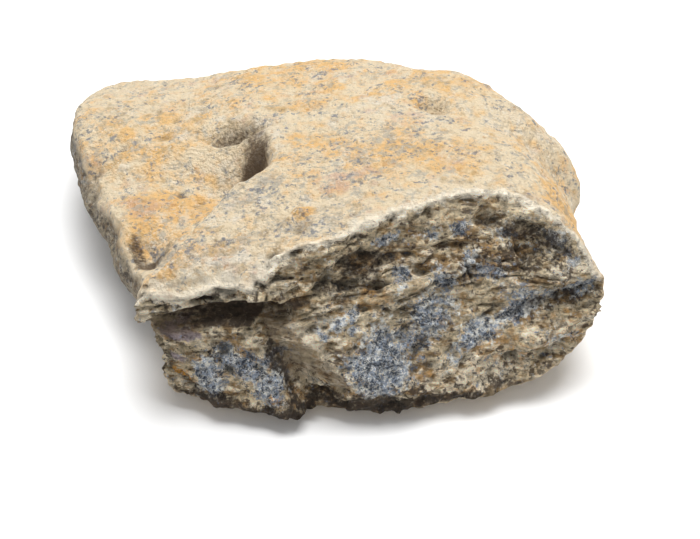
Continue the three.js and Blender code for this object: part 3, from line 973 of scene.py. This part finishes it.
@dataclass(frozen=True)
class Stains:
    """Where the minerals have coloured the bone, and where dirt and painted shade darken its hollows. Each
    stain becomes one attribute of the mesh.
    """

    on_break: tuple[Patch, ...] = (
        *patches(
            Stain.SLATE,
            (3.5, 7.7, 4.4, 3.6), (9.4, 11.8, 3.4, 2.1, 0.9), (7.5, 9.6, 3, 2.2, 0.7),
            (15.2, 9, 3.2, 1.3, 0.95, 12), (19.9, 10.4, 3.6, 1, 0.9, 14), (25, 12, 3, 0.9, 0.6, 14),
            (28.4, 12.6, 2.2, 1.1, 1, 10), (21.1, 12.3, 2.2, 1, 0.75), (18.1, 14.6, 1.8, 1.6, 0.6),
            (24.7, 17.7, 2.4, 1, 0.7, -15), (26.8, 16, 1.2, 0.7, 0.7), (12.5, 6.9, 1.6, 0.9, 0.7),
            (25.4, 7.7, 2.2, 0.9, 0.55), (-1.4, 12.4, 1, 0.8, 0.9), (0.2, 11.8, 0.7, 0.6, 0.9),
            (-3.2, 11.4, 1.1, 0.6, 0.8, -20), (0, 12.9, 1.2, 0.6, 0.6), (4.4, 19, 1.7, 0.8, 1, 15),
            (6.4, 15.9, 1.3, 0.7, 1), (11.5, 14.7, 1.7, 1.2, 1, -25), (14.4, 16.3, 1, 1.3, 0.8),
            (16.3, 15, 1.3, 0.9, 0.8), (13, 19.3, 1.5, 0.7, 0.9), (9.6, 19, 1.3, 0.7, 0.8),
            (19.4, 18.2, 1.4, 0.7, 0.7), (-16.9, 6, 2.4, 2.6, 1), (-12.6, 7.8, 4, 1.7, 1, -8),
            (-9.6, 5.6, 1.9, 2.6, 1, 12), (-15, 9.2, 1.3, 0.8, 0.9), (-9, 8.6, 1.5, 0.5, 1),
        ),
        *patches(
            Stain.OCHRE,
            (-20.2, 5.4, 2, 0.45, 1.6, -25), (-20.6, 6.3, 1.6, 0.2, 0.7, -22), (-9.2, 4.1, 1, 0.8, 1.5),
            (-18, 8.1, 1.2, 0.5, 0.8, -30), (3, 14, 7, 1, 0.35, 12), (2, 4.7, 2, 0.7, 0.6),
            (22, 7.5, 7, 2, 0.35, 8),
        ),
        *patches(
            Stain.UMBER,
            (-16.5, 8.4, 1.6, 0.8, 0.8), (-8, 15.2, 2.6, 1.2, 0.6, -20), (21.8, 16, 2.6, 1.6, 0.8, -20),
            (24.5, 11, 6, 0.7, 0.7, 14), (-16, 15.4, 3, 0.6, 1, 8), (-20.5, 14.4, 2, 0.4, 0.9, 8),
            (19, 16, 8, 2.2, 0.9, -8), (12, 18.4, 8, 1.6, 0.3, 8),
        ),
        *patches(
            Stain.MAUVE,
            (-20.2, 10.9, 3, 0.7, 1.1, -4), (-20.6, 7.8, 1.8, 0.8, 0.9, -16),
        ),
        # Cream bone; the patches on the nose ridge and the second ridge also paint a highlight on ridge tops
        # that face the light.
        *patches(
            Stain.CREAM,
            (-19, 14.6, 8, 2, 0.9, 8), (-2.5, 10.2, 3.2, 3, 0.5, -40), (10, 5.4, 5, 1.5, 0.5),
            (-20, 4.2, 2.2, 0.8, 0.5, -24), (-11.2, 9.9, 1.6, 1.2, 0.4), (17, 5.2, 7, 1.9, 1.2, 12),
            (27, 14.6, 3.6, 1, 0.8, 4), (25, 9, 4, 0.8, 0.8, 8), (-4.2, 10.4, 5.4, 0.5, 1.5, -41),
            (-9, 17, 4, 1.2, 0.6, 9), (-21, 3.4, 2, 0.8, 0.6, -20), (-4, 5, 2.6, 0.9, 1, -10),
            (-7.6, 10.2, 1, 2, 0.6, -40),
        ),
        # Dirt and painted shade: these sit under the crust's edge, in the pits and grooves, in the cave and
        # groove by the facet, and on the undercut foot.
        *patches(
            Stain.DIRT_AND_SHADE,
            (22.5, 17.8, 6.5, 1.7, 0.95, -14), (24, 11.2, 6, 0.6, 0.9, 14), (2.2, 17, 5, 1.7, 0.9, 16),
            (-1.6, 15, 3, 1, 0.8, -30), (-8.5, 13.6, 2.2, 1.2, 0.8), (-8.4, 7.4, 0.8, 5.4, 1.05, 25),
            (3, 1.7, 9.5, 3.4, 1.2),
        ),
    )
    on_crust: tuple[Patch, ...] = (
        *patches(
            Stain.SLATE,
            (-16, -7, 9, 2, 0.5, 8), (-13, 3, 6, 4, 0.6), (-5, -5, 5, 2.5, 0.7), (3, 10, 9, 6, 0.45),
            (-24, 1, 2.5, 2, 0.7), (-36, 22, 5, 8, 0.3),
        ),
        *patches(
            Stain.OCHRE,
            (-22, 9, 6, 3.5, 0.9), (-25.5, 5, 4, 4, 0.8), (-30, 22, 7, 6, 0.35),
            (-6, -2, 1.2, 0.8, 1.6), (27, 4, 3, 8, 0.9), (-19, -8.5, 6, 1.6, 0.9, 10),
            (-8, 37, 12, 5, 0.6), (8, 8, 12, 6, 0.45), (6, 28, 12, 6, 0.35),
        ),
        *patches(
            Stain.UMBER,
            (-15, -8, 9, 2.4, 0.7, 8), (-26, 26, 12, 8, 0.5), (-7, -5, 5, 3, 0.7),
            (-24.4, 1.7, 1.8, 1, 1, 15),
        ),
        *patches(
            Stain.MAUVE,
            (-0.6, 3.4, 4, 3, 0.6), (-28, 10, 4, 3, 0.5),
        ),
        *patches(
            Stain.CREAM,
            (4.7, 22, 4, 2, 0.6), (1.3, 20, 3, 1.5, 0.4), (-9, 16, 2, 4.5, 0.3),
            (-18.5, -1, 4.5, 1.5, 0.5), (-16, -9, 9, 2, 0.7), (-20, 26, 5, 4, 0.35),
            (17, 19, 6, 4, 0.35), (-24.2, 3.6, 2, 1.1, 0.7),
        ),
        # Dirt and painted shade: these sit in the deep hole and its mouth, the hollow behind it, the dents,
        # the corner bowl and the pits.
        *patches(
            Stain.DIRT_AND_SHADE,
            (-12.8, 13.6, 2.2, 4.2, 1.3, -14), (-15.6, 14.4, 3.2, 3.6, 0.45),
            (-15.6, 20.6, 4.6, 1.5, 0.85, -8), (-12.8, 17.4, 2, 2.2, 0.85),
            (-16.4, 12.4, 0.9, 0.7, 0.8), (-20, 9.4, 0.8, 0.5, 0.7), (-27, 1.8, 0.9, 2.8, 1.1, 14),
            (-25.2, 0.2, 2.4, 0.9, 1.15, 15), (10.3, 19.9, 1.2, 1, 0.8), (-34.2, 17.3, 1.6, 0.8, 0.6),
            (-31, 20.8, 0.7, 0.6, 0.6),
        ),
    )
    crust_up: tuple[float, float] = (6.5, 8.5)

    def strength(self, stain: Stain, p: tuple[Array, ...], broken: Array) -> Array:
        """Strength of one stain, the greatest of its patches, whose edges wander with a few bumps.

        Args:
            stain: Which stain.
            p: Points as three arrays, in mm.
            broken: Share of each point that belongs to the break.

        Returns:
            A share from 0 to a little over 1.
        """
        x, y, z = p
        wander_x = 0.5 * bumps(x / 2, y / 2, z / 2) + 0.25 * bumps(x, y, z)
        wander_up = 0.5 * bumps(x / 2 + 31, y / 2, z / 2) + 0.25 * bumps(x + 31, y, z)

        def sheet(spots: tuple[Patch, ...], up: Array) -> Array:
            """Greatest strength of this stain's patches on one of the two surfaces."""
            chosen = [spot.at(x + wander_x, up + wander_up) for spot in spots if spot.stain is stain]
            return np.maximum.reduce([np.zeros_like(x), *chosen])

        crust = sheet(self.on_crust, y) * smooth_step(*self.crust_up, z)
        return mix(crust, sheet(self.on_break, z), broken)


def linear(hex_colour: str) -> tuple[float, float, float, float]:
    """Turn an sRGB hex colour into linear red, green and blue with full alpha."""
    parts = [int(hex_colour[n : n + 2], 16) / 255 for n in (1, 3, 5)]
    return (*(c / 12.92 if c <= 0.04045 else ((c + 0.055) / 1.055) ** 2.4 for c in parts), 1.0)


def add(tree: Tree, kind: str, sockets: dict, out: int | str = 0, **settings: object) -> Socket | None:
    """Add a node to a tree with its settings, fill its sockets and hand back one of its outputs.

    Args:
        tree: The material's node tree.
        kind: Blender's name for the node, without the word ShaderNode.
        sockets: Socket name or number, to a value or to another node's output that is linked in.
        out: Which output to hand back.
        settings: The node's own properties.

    Returns:
        The output socket, or None for a node that has none.
    """
    node = tree.nodes.new("ShaderNode" + kind)
    for name, value in settings.items():
        setattr(node, name, value)
    for key, value in sockets.items():
        if isinstance(value, bpy.types.NodeSocket):
            tree.links.new(value, node.inputs[key])
        else:
            node.inputs[key].default_value = value
    return node.outputs[out] if len(node.outputs) else None


# Sockets of the Mix node: its share, its two values, its two colours and the mixed colour.
SHARE, VALUE_A, VALUE_B, UNDER, OVER, MIXED = 0, 2, 3, 6, 7, 2


@dataclass(frozen=True)
class Layer:
    """One mineral colour, laid over what is below where its pattern rises from low to high.

    At high it covers the greatest share, most. The pattern is noise whose features have the size given in
    mm, plus coarser noise that gathers it in clusters of their size in mm, plus the attribute that mark
    names times its gain. A layer that lies along is drawn out with the fibres. Veins is the size in mm of
    the network of thin gaps that breaks a layer up, 0 for none.
    """

    what: str
    colour: str
    size: float
    low: float
    high: float
    most: float = 1.0
    mark: str = ""
    gain: float = 0.5
    cluster: float = 0.0
    seed: float = 0.0
    along: bool = False
    veins: float = 0.0


@dataclass(frozen=True)
class MineralisedBone:
    """Fossil bone, its pores filled with minerals: a dull ochre crust over a coarse, fibrous inside.

    Weathered crust is matt and sandy, freckled with slate-grey mineral that fills its pores. Where it is
    broken, tan fibres and blue-grey mineral lie in patches, with pale raw edges, and dirt mixed with painted
    shade darkens the crevices and hollows.
    """

    name: str = "Fossil bone, mineralised"
    sand: str = "#eddab9"
    straw: str = "#dac8a6"
    crust_layers: tuple[Layer, ...] = (
        Layer("ochre cloud", "#f0c17b", 2.4, 0.44, 0.78, 0.9, "ochre", 0.35, 8, 1),
        Layer("cream patch", "#ece2d0", 1.6, 0.54, 0.82, 0.75, "cream", 0.3, 6, 2),
        Layer("grey film", "#aaa08f", 1.3, 0.54, 0.8, 0.6, "slate", 0.2, 4, 3),
        Layer("mauve tinge", "#cda18c", 1.8, 0.56, 0.85, 0.55, "mauve", 0.35, 6, 4),
        Layer("rust grain", "#c48d4c", 0.6, 0.62, 0.78, 0.6, "ochre", 0.06, 3, 5),
        Layer("slate halo", "#b0aba0", 1, 0.55, 0.69, 0.6, "slate", 0.15, 2, 6),
        Layer("slate fleck", "#6f7885", 0.65, 0.58, 0.72, 0.75, "slate", 0.13, 1.9, 6),
        Layer("brown shade", "#b4976a", 1.3, 0.58, 0.76, 0.5, "umber", 0.2, 3.5, 10),
        Layer("dark grain", "#85745c", 0.36, 0.62, 0.76, 0.4, "slate", 0.05, 1.5, 7),
        Layer("pale grain", "#f3e8d4", 0.35, 0.58, 0.74, 0.6, "cream", 0.08, 2, 8),
        # Dirt and painted shade: dark brown in the crust's hole, pits, dents and corner bowl, where shade
        # falls.
        Layer("dirt_and_shade", "#54402a", 0.6, 0.62, 1.25, 0.9, "dirt_and_shade", 0.7, 0, 9),
        Layer("pale raw edge", "#f7ecd6", 0.5, 0.84, 1.1, 0.65, "edge", 0.6, 2.2, 22),
    )
    break_layers: tuple[Layer, ...] = (
        Layer("brown fibre", "#967443", 0.7, 0.48, 0.66, 0.85, "umber", 0.1, 3, 11, True),
        Layer("cream fibre", "#fbecd0", 0.6, 0.5, 0.68, 0.95, "cream", 0.18, 2.2, 12, True),
        Layer("rust tint", "#bd8f4f", 0.9, 0.54, 0.74, 0.65, "ochre", 0.3, 3.5, 13),
        Layer("umber", "#4b3a28", 0.6, 0.6, 0.72, 0.85, "umber", 0.2, 2.4, 14),
        Layer("mauve", "#9b8c91", 0.8, 0.66, 0.9, 0.9, "mauve", 0.5, 0, 15),
        Layer("ochre vein", "#e2a03a", 0.4, 0.82, 1.05, 0.95, "ochre", 0.45, 0, 16),
        Layer("pale mineral", "#f0f0ea", 0.7, 0.6, 0.78, 0.9, "slate", 0.3, 2.4, 21),
        Layer("blue slate", "#8898af", 0.6, 0.62, 0.76, 0.85, "slate", 0.3, 1.6, 18, False, 0.65),
        Layer("dark slate", "#303a48", 0.55, 0.66, 0.77, 0.95, "slate", 0.24, 1.4, 17, False, 0.5),
    )
    face_layers: tuple[Layer, ...] = (
        Layer("pale raw edge", "#f9eed8", 0.5, 0.74, 0.98, 1, "edge", 0.65, 1.6, 19),
        Layer("brown crevice", "#4f3b27", 0.4, 0.57, 0.68, 0.8, "slate", -0.1, 1.8, 23, True),
        # Dirt and painted shade: very dark brown in the break's pits, grooves, recess, undercut foot and
        # under overhangs, where shade falls.
        Layer("dirt_and_shade", "#36281a", 0.5, 0.7, 1.15, 0.92, "dirt_and_shade", 0.6, 1.5, 20),
    )
    # The wall's brown is partly the clean bone's own colour and partly painted shade on the facet and recess
    # walls, which face away from the light.
    wall: str = "#6b5944"
    # Painted shade: dark grey for the left side wall, which faces away from the light.
    flank: str = "#413f3d"
    ior: float = 1.53
    rough_crust: float = 0.88
    rough_slate: float = 0.62
    bump_mm: float = 1.4
    fibre_slope: float = 0.35
    fibre_squash: tuple[float, float, float] = (0.3, 0.7, 1)
    gather_share: float = 0.6
    gather_middle: float = 0.3
    vein_gap: tuple[float, float] = (0.01, 0.05)
    vein_least: float = 0.1
    wall_share: float = 0.65
    # Painted shade and painted highlight: how far the colour is darkened in the relief's hollows and
    # lightened on its crests, and how dark the painted shade in the mesh's low places is.
    hollow_rough: tuple[float, float] = (0.62, 1.02)
    relief_shade_and_highlight: tuple[float, float] = (0.26, 1.62)
    low_shade: float = 0.35
    sand_mm: float = 0.6
    crumb_mm: float = 0.7
    fibre_mm: float = 0.6
    fibre_part: float = 0.7
    calm_part: float = 0.5
    calm_middle: float = 0.6
    calm_share: float = 0.35
    sand_part: float = 0.85

    def material(self) -> bpy.types.Material:
        """Build the material: a crust and an inside, mixed by the break's attribute, with their own bump.

        Clean walls of the break lose most of their colour under the wall's brown, which is partly painted
        shade where they face away from the light, and only raw edges, crevices, and dirt with painted shade
        lie over it.
        What the bump raises is painted lighter and what it lowers is painted darker, a painted highlight and
        painted shade, and the mesh's low places get painted shade too.

        Returns:
            The finished material.
        """
        made = bpy.data.materials.new(self.name)
        made.use_nodes = True
        tree = made.node_tree
        tree.nodes.clear()
        here = add(tree, "TexCoord", {}, "Object")
        mm = add(tree, "Mapping", {"Vector": here, "Scale": (1 / MM,) * 3})
        sockets = {"Vector": mm, "Rotation": (0, self.fibre_slope, 0), "Scale": self.fibre_squash}
        fibres = add(tree, "Mapping", sockets)
        names = ("broken", "edge", "low", "wall", "flank", *(s.value for s in Stain))
        marks = {name: add(tree, "Attribute", {}, "Fac", attribute_name=name) for name in names}
        crust = linear(self.sand)
        for layer in self.crust_layers:
            crust = self.lay(tree, crust, layer, mm, fibres, marks)
        # Painted shade: the left side wall, turned from the light, is painted dark grey.
        sockets = {SHARE: marks["flank"], UNDER: crust, OVER: linear(self.flank)}
        crust = add(tree, "Mix", sockets, MIXED, data_type="RGBA")
        inside = linear(self.straw)
        for layer in self.break_layers:
            inside = self.lay(tree, inside, layer, mm, fibres, marks)
        # Painted shade, in part: clean walls take the wall's brown where they face away from the light.
        part = add(tree, "Math", {0: marks["wall"], 1: self.wall_share}, operation="MULTIPLY")
        sockets = {SHARE: part, UNDER: inside, OVER: linear(self.wall)}
        inside = add(tree, "Mix", sockets, MIXED, data_type="RGBA")
        for layer in self.face_layers:
            inside = self.lay(tree, inside, layer, mm, fibres, marks)
        rough, sandy = self.fine_relief(tree, mm, fibres, marks)
        # Painted shade and painted highlight: the colour is darkened where the fine relief is low and
        # lightened where it is high.
        (low, high), (dark, light) = self.hollow_rough, self.relief_shade_and_highlight
        hollows = add(tree, "MapRange", {0: rough, 1: low, 2: high, 3: dark, 4: light})
        sockets = {SHARE: 1.0, UNDER: inside, OVER: hollows}
        inside = add(tree, "Mix", sockets, MIXED, data_type="RGBA", blend_type="MULTIPLY")
        sockets = {SHARE: marks["broken"], UNDER: crust, OVER: inside}
        colour = add(tree, "Mix", sockets, MIXED, data_type="RGBA")
        # Painted shade: darker where the mesh's relief sinks into crevices and pits.
        sockets = {0: marks["low"], 1: 0, 2: 1, 3: 1, 4: self.low_shade}
        shade = add(tree, "MapRange", sockets, interpolation_type="SMOOTHSTEP")
        sockets = {SHARE: 1.0, UNDER: colour, OVER: shade}
        colour = add(tree, "Mix", sockets, MIXED, data_type="RGBA", blend_type="MULTIPLY")
        gloss = add(tree, "MapRange", {0: marks["slate"], 3: self.rough_crust, 4: self.rough_slate})
        sockets = {SHARE: marks["broken"], VALUE_A: sandy, VALUE_B: rough}
        relief = add(tree, "Mix", sockets, data_type="FLOAT")
        normal = add(tree, "Bump", {"Height": relief, "Strength": 1.0, "Distance": self.bump_mm * MM})
        skin = {"Base Color": colour, "Roughness": gloss, "IOR": self.ior, "Normal": normal}
        add(tree, "OutputMaterial", {"Surface": add(tree, "BsdfPrincipled", skin)})
        return made

    def lay(
        self, tree: Tree, colour: object, layer: Layer, mm: Socket, fibres: Socket, marks: Marks
    ) -> Socket:
        """Lay one mineral over the colour below it, as its layer says.

        Args:
            tree: The material's node tree.
            colour: What lies below, a colour or an output.
            layer: The mineral.
            mm: Object coordinates in mm.
            fibres: The same, drawn out along the bone's fibres.
            marks: The mesh's attributes.

        Returns:
            The new colour.
        """
        where = fibres if layer.along else mm
        sockets = {"Vector": where, "W": layer.seed, "Scale": 1 / layer.size}
        sockets |= {"Detail": 2.5, "Roughness": 0.6}
        pattern = add(tree, "TexNoise", sockets, noise_dimensions="4D")
        if layer.cluster:
            sockets = {"Vector": mm, "W": layer.seed + 50, "Scale": 1 / layer.cluster, "Detail": 3}
            gather = add(tree, "TexNoise", sockets, noise_dimensions="4D")
            sockets = {0: gather, 1: self.gather_share, 2: pattern}
            pattern = add(tree, "Math", sockets, operation="MULTIPLY_ADD")
            pattern = add(tree, "Math", {0: pattern, 1: self.gather_middle}, operation="SUBTRACT")
        if layer.mark:
            sockets = {0: marks[layer.mark], 1: layer.gain, 2: pattern}
            pattern = add(tree, "Math", sockets, operation="MULTIPLY_ADD")
        sockets = {0: pattern, 1: layer.low, 2: layer.high, 3: 0, 4: layer.most}
        share = add(tree, "MapRange", sockets, interpolation_type="SMOOTHSTEP")
        if layer.veins:
            sockets = {"Vector": mm, "W": layer.seed + 80, "Scale": 1 / layer.veins}
            sockets |= {"Detail": 3, "Roughness": 0.7}
            wave = add(tree, "TexNoise", sockets, noise_dimensions="4D")
            apart = add(tree, "Math", {0: wave, 1: 0.5}, operation="SUBTRACT")
            apart = add(tree, "Math", {0: apart}, operation="ABSOLUTE")
            narrow, wide = self.vein_gap
            sockets = {0: apart, 1: narrow, 2: wide, 3: self.vein_least, 4: 1}
            inner = add(tree, "MapRange", sockets, interpolation_type="SMOOTHSTEP")
            share = add(tree, "Math", {0: share, 1: inner}, operation="MULTIPLY")
        sockets = {SHARE: share, UNDER: colour, OVER: linear(layer.colour)}
        return add(tree, "Mix", sockets, MIXED, data_type="RGBA")

    def fine_relief(self, tree: Tree, mm: Socket, fibres: Socket, marks: Marks) -> tuple[Socket, Socket]:
        """Relief finer than the mesh, as shares of the bump's distance.

        Args:
            tree: The material's node tree.
            mm: Object coordinates in mm.
            fibres: The same, drawn out along the bone's fibres.
            marks: The mesh's attributes.

        Returns:
            Fibres and crumbs of the break, calmer on the clean walls, and sandy grain of the crust.
        """
        sockets = {"Vector": mm, "Scale": 1 / self.sand_mm, "Detail": 5, "Roughness": 0.65}
        sandy = add(tree, "TexNoise", sockets)
        sockets = {"Vector": mm, "Scale": 1 / self.crumb_mm, "Detail": 6, "Roughness": 0.76}
        crumbs = add(tree, "TexNoise", sockets)
        sockets = {"Vector": fibres, "Scale": 1 / self.fibre_mm, "Detail": 4, "Roughness": 0.65}
        drawn = add(tree, "TexNoise", sockets)
        rough = add(tree, "Math", {0: drawn, 1: self.fibre_part, 2: crumbs}, operation="MULTIPLY_ADD")
        sockets = {0: drawn, 1: self.calm_part, 2: self.calm_middle}
        calm = add(tree, "Math", sockets, operation="MULTIPLY_ADD")
        part = add(tree, "Math", {0: marks["wall"], 1: self.calm_share}, operation="MULTIPLY")
        rough = add(tree, "Mix", {SHARE: part, VALUE_A: rough, VALUE_B: calm}, data_type="FLOAT")
        return rough, add(tree, "Math", {0: sandy, 1: self.sand_part}, operation="MULTIPLY")


@dataclass
class Scute:
    """The fossil itself: its form, the lattice it hangs on, its fine relief, its stains and its finish."""

    form: ScuteForm = field(default_factory=ScuteForm)
    lattice: BoxLattice = field(default_factory=BoxLattice)
    relief: BoneRelief = field(default_factory=BoneRelief)
    stains: Stains = field(default_factory=Stains)
    finish: MineralisedBone = field(default_factory=MineralisedBone)
    ground_clear: float = 2.2
    full_facing: tuple[float, float] = (0.08, 0.4)
    # Below these heights the foot of the break is darkened: dirt and painted shade under its undercut.
    foot_dirt_and_shade: tuple[float, float] = (4.6, 2.6)
    raw_front: tuple[float, float] = (-15.5, -17)
    under_tinge: tuple[float, float] = (8, 1)
    under_umber: float = 0.9
    cream_on_wall: float = 0.7
    crumbly: float = 0.5
    crumbly_breadth: float = 1.1
    edge_on_crust: tuple[float, float] = (-1.6, -0.3)
    edge_on_break: tuple[float, float] = (1.3, 0.1)
    edge_up: tuple[float, float] = (12, 15)
    # Painted shade on the left flank: from these places along X, and below the crust by these heights.
    flank_left: tuple[float, float] = (-22, -26)
    flank_down: tuple[float, float] = (0.6, 2.2)
    flank_broken: float = 0.35
    # Painted shade, with some dirt, on the walls of the recess under the lip, weaker towards the left.
    recess_skin: tuple[float, float] = (-0.5, -0.05)
    recess_up: tuple[float, float] = (10.8, 11.8)
    recess_across: tuple[float, float] = (-23, -15)
    recess_dirt_and_shade: tuple[float, float] = (0.6, 1.05)
    # Painted shade: how deep the relief must sink before the colour is darkened.
    low_depth: tuple[float, float] = (0.05, 0.8)

    def build(self) -> bpy.types.Object:
        """Make the mesh, mark it and dress it.

        Returns:
            The finished piece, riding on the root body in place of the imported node.
        """
        places, quads = self.lattice.surface()
        base = self.lattice.skin(self.form, places)
        points, attributes = self.shape(base, quads, self.lattice.rays(places)[1])
        piece = self.mesh_object(points, quads, attributes)
        piece.data.materials.append(self.finish.material())
        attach(piece, "root")
        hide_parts(NODE)
        log.info("%s: %d points, %d triangles", piece.name, len(points), 2 * len(quads))
        return piece

    def shape(self, base: Array, quads: Array, way: Array) -> tuple[Array, dict[str, Array]]:
        """Add the fine relief to the base surface along its normals, and work out the attributes.

        The relief fades out where the skin runs along its rays, because the lattice is stretched there.

        Args:
            base: Points of the base surface as rows, in mm.
            quads: Rows of four vertex numbers.
            way: Unit directions of the rays that found the points.

        Returns:
            The points with their relief, and one value for each under each attribute's name.
        """
        p = tuple(base.T)
        relief = self.relief
        past = relief.past_edge(self.form, p)
        broken = relief.broken_share(p, past)
        wall = relief.smooth_wall(self.form, p)
        found = {s.value: self.stains.strength(s, p, broken) for s in Stain}
        rough = relief.of_break(self.form, p, past, found["slate"]) * mix(1, relief.smooth_share, wall)
        height = mix(relief.of_crust(p), rough, broken) + relief.of_edge(p, past) * (1 - wall)
        normals = vertex_normals(base, quads)
        facing = np.abs(np.sum(normals * way, 1))
        height *= smooth_step(0, self.ground_clear, p[2]) * smooth_step(*self.full_facing, facing)
        points = base + normals * height[:, None]
        points[:, 2] = np.maximum(points[:, 2], 0)
        return points, self.marked(found, p, past, broken, wall, height)

    def marked(
        self,
        found: dict[str, Array],
        p: tuple[Array, ...],
        past: Array,
        broken: Array,
        wall: Array,
        height: Array,
    ) -> dict[str, Array]:
        """Complete the stains with what the form gives: raw edge, the left flank painted dark as painted
        shade, umber towards the ground, dirt with painted shade at the foot and in the recess, and painted
        shade in the relief's low places.

        Args:
            found: The stains, one value for each point under each name.
            p: Points of the base surface as three arrays, in mm.
            past: Distances past the crust's edge, in mm.
            broken: Share of each point that belongs to the break.
            wall: Share of each point that lies on a clean wall.
            height: Heights of the relief, in mm.

        Returns:
            One value for each point under each attribute's name.
        """
        x, y, z = p
        broken = np.maximum(broken, smooth_step(*self.raw_front, y))
        crumbly = self.crumbly * bumps(*(c / self.crumbly_breadth for c in p))
        # Painted shade: the left side wall below the crust, which faces away from the light.
        left = smooth_step(*self.flank_left, x + 2 * crumbly) * (1 - broken)
        flank = left * smooth_step(*self.flank_down, self.form.crust.height(x, y) - z)
        edge = smooth_step(*self.edge_on_crust, past + crumbly)
        edge *= smooth_step(*self.edge_on_break, past - crumbly)
        # Painted shade, with dirt: the foot of the break darkens towards the ground under its undercut.
        foot = smooth_step(*self.foot_dirt_and_shade, z + 0.8 * bumps(x / 3, y / 3, z / 3)) * broken
        # Painted shade, with some dirt: the walls of the recess under the lip are marked dark.
        recess = smooth_step(*self.recess_skin, self.form.rooms[0].inside(x, y, z))
        recess *= smooth_step(*self.recess_up, z)
        recess *= mix(*self.recess_dirt_and_shade, smooth_step(*self.recess_across, x))
        marks = dict(found)
        marks["broken"] = np.maximum(broken, self.flank_broken * flank)
        marks["wall"] = wall * broken * (1 - self.cream_on_wall * np.minimum(found["cream"], 1))
        marks["edge"] = edge * smooth_step(*self.edge_up, z)
        marks["flank"] = flank
        # Dirt and painted shade together: the patches, the foot and the recess.
        marks["dirt_and_shade"] = np.maximum.reduce([found["dirt_and_shade"], foot, recess])
        marks["umber"] = np.maximum(found["umber"], self.under_umber * smooth_step(*self.under_tinge, z))
        # Painted shade: marks where the relief sinks below the base surface.
        marks["low"] = smooth_step(*self.low_depth, -height)
        return marks

    def mesh_object(self, points: Array, quads: Array, attributes: dict[str, Array]) -> bpy.types.Object:
        """Put points, quads and attributes into a mesh in metres in the row frame.

        Args:
            points: Vertex places in mm from the drawing point.
            quads: Rows of four vertex numbers.
            attributes: One value for each vertex under each name.

        Returns:
            The object at the origin, unturned and unscaled.
        """
        mesh = bpy.data.meshes.new("fossil_scute")
        placed = (points - np.array([*DRAWN_MIDDLE, 0.0])) * MM
        mesh.vertices.add(len(placed))
        mesh.vertices.foreach_set("co", placed.astype(np.float32).ravel())
        mesh.loops.add(quads.size)
        mesh.loops.foreach_set("vertex_index", quads.astype(np.int32).ravel())
        mesh.polygons.add(len(quads))
        mesh.polygons.foreach_set("loop_start", np.arange(0, quads.size, 4, dtype=np.int32))
        mesh.polygons.foreach_set("use_smooth", np.ones(len(quads), bool))
        mesh.update(calc_edges=True)
        mesh.validate()
        for name, values in attributes.items():
            mark = mesh.attributes.new(name, "FLOAT", "POINT")
            mark.data.foreach_set("value", values.astype(np.float32))
        piece = bpy.data.objects.new("fossil_scute", mesh)
        bpy.context.scene.collection.objects.link(piece)
        return piece


@dataclass(frozen=True)
class Studio:
    """A pale floor, soft light from above and a camera at the photograph's angle."""

    floor_half: float = 0.6
    floor_colour: str = "#f4f4f4"
    floor_rough: float = 0.9
    aim: tuple[float, float, float] = (4.2, -13.2, 10)
    elevation: float = 38
    distance: float = 172
    lens: float = 70
    world_strength: float = 0.4
    key_place: tuple[float, float, float] = (0.05, 0.12, 0.50)
    key_side: float = 0.42
    key_power: float = 4
    fill_place: tuple[float, float, float] = (-0.05, -0.45, 0.30)
    fill_side: float = 0.40
    fill_power: float = 0.35

    def build(self) -> None:
        """Set up the floor, the world, the lamps and the camera."""
        self.floor()
        self.world()
        self.lamp("key", self.key_place, self.key_side, self.key_power)
        self.lamp("fill", self.fill_place, self.fill_side, self.fill_power)
        self.camera()
        bpy.context.scene.view_settings.view_transform = "Standard"

    def floor(self) -> None:
        """A wide square of matt white card under the fossil.

        Uncoated card scatters light evenly, so the shadow on it is soft and nothing shines back.
        """
        s = self.floor_half
        mesh = bpy.data.meshes.new("floor")
        mesh.from_pydata([(-s, -s, 0), (s, -s, 0), (s, s, 0), (-s, s, 0)], [], [(0, 1, 2, 3)])
        board = bpy.data.objects.new("floor", mesh)
        bpy.context.scene.collection.objects.link(board)
        paper = bpy.data.materials.new("White card, matt")
        paper.use_nodes = True
        shader = paper.node_tree.nodes["Principled BSDF"]
        shader.inputs["Base Color"].default_value = linear(self.floor_colour)
        shader.inputs["Roughness"].default_value = self.floor_rough
        mesh.materials.append(paper)

    def world(self) -> None:
        """Even white light from all round."""
        world = bpy.data.worlds.new("studio")
        world.use_nodes = True
        sky = world.node_tree.nodes["Background"]
        sky.inputs["Color"].default_value = (1, 1, 1, 1)
        sky.inputs["Strength"].default_value = self.world_strength
        bpy.context.scene.world = world

    def lamp(self, name: str, place: tuple[float, float, float], side: float, power: float) -> None:
        """A square soft lamp that looks at the fossil.

        Args:
            name: What the lamp is called.
            place: Where it hangs, in metres.
            side: Length of its side, in metres.
            power: Its power, in watts.
        """
        light = bpy.data.lights.new(name, "AREA")
        light.shape = "SQUARE"
        light.size = side
        light.energy = power
        lamp = bpy.data.objects.new(name, light)
        bpy.context.scene.collection.objects.link(lamp)
        lamp.location = place
        lamp.rotation_mode = "QUATERNION"
        lamp.rotation_quaternion = (-Vector(place)).to_track_quat("-Z", "Y")

    def camera(self) -> None:
        """A camera straight in front, looking down at the photograph's angle."""
        lens = bpy.data.cameras.new("camera")
        lens.lens = self.lens
        lens.clip_start = 0.005
        lens.clip_end = 5
        camera = bpy.data.objects.new("camera", lens)
        bpy.context.scene.collection.objects.link(camera)
        e = math.radians(self.elevation)
        back = Vector((0, -math.cos(e), math.sin(e)))
        camera.location = (Vector(self.aim) + back * self.distance) * MM
        camera.rotation_mode = "QUATERNION"
        camera.rotation_quaternion = (-back).to_track_quat("-Z", "Y")
        bpy.context.scene.camera = camera


def main() -> None:
    """Build the studio and the fossil."""
    logging.basicConfig(level=logging.INFO, format="%(name)s %(message)s")
    Studio().build()
    log.info("studio: floor, lamps and camera")
    Scute().build()


if __name__ == "__main__":
    main()
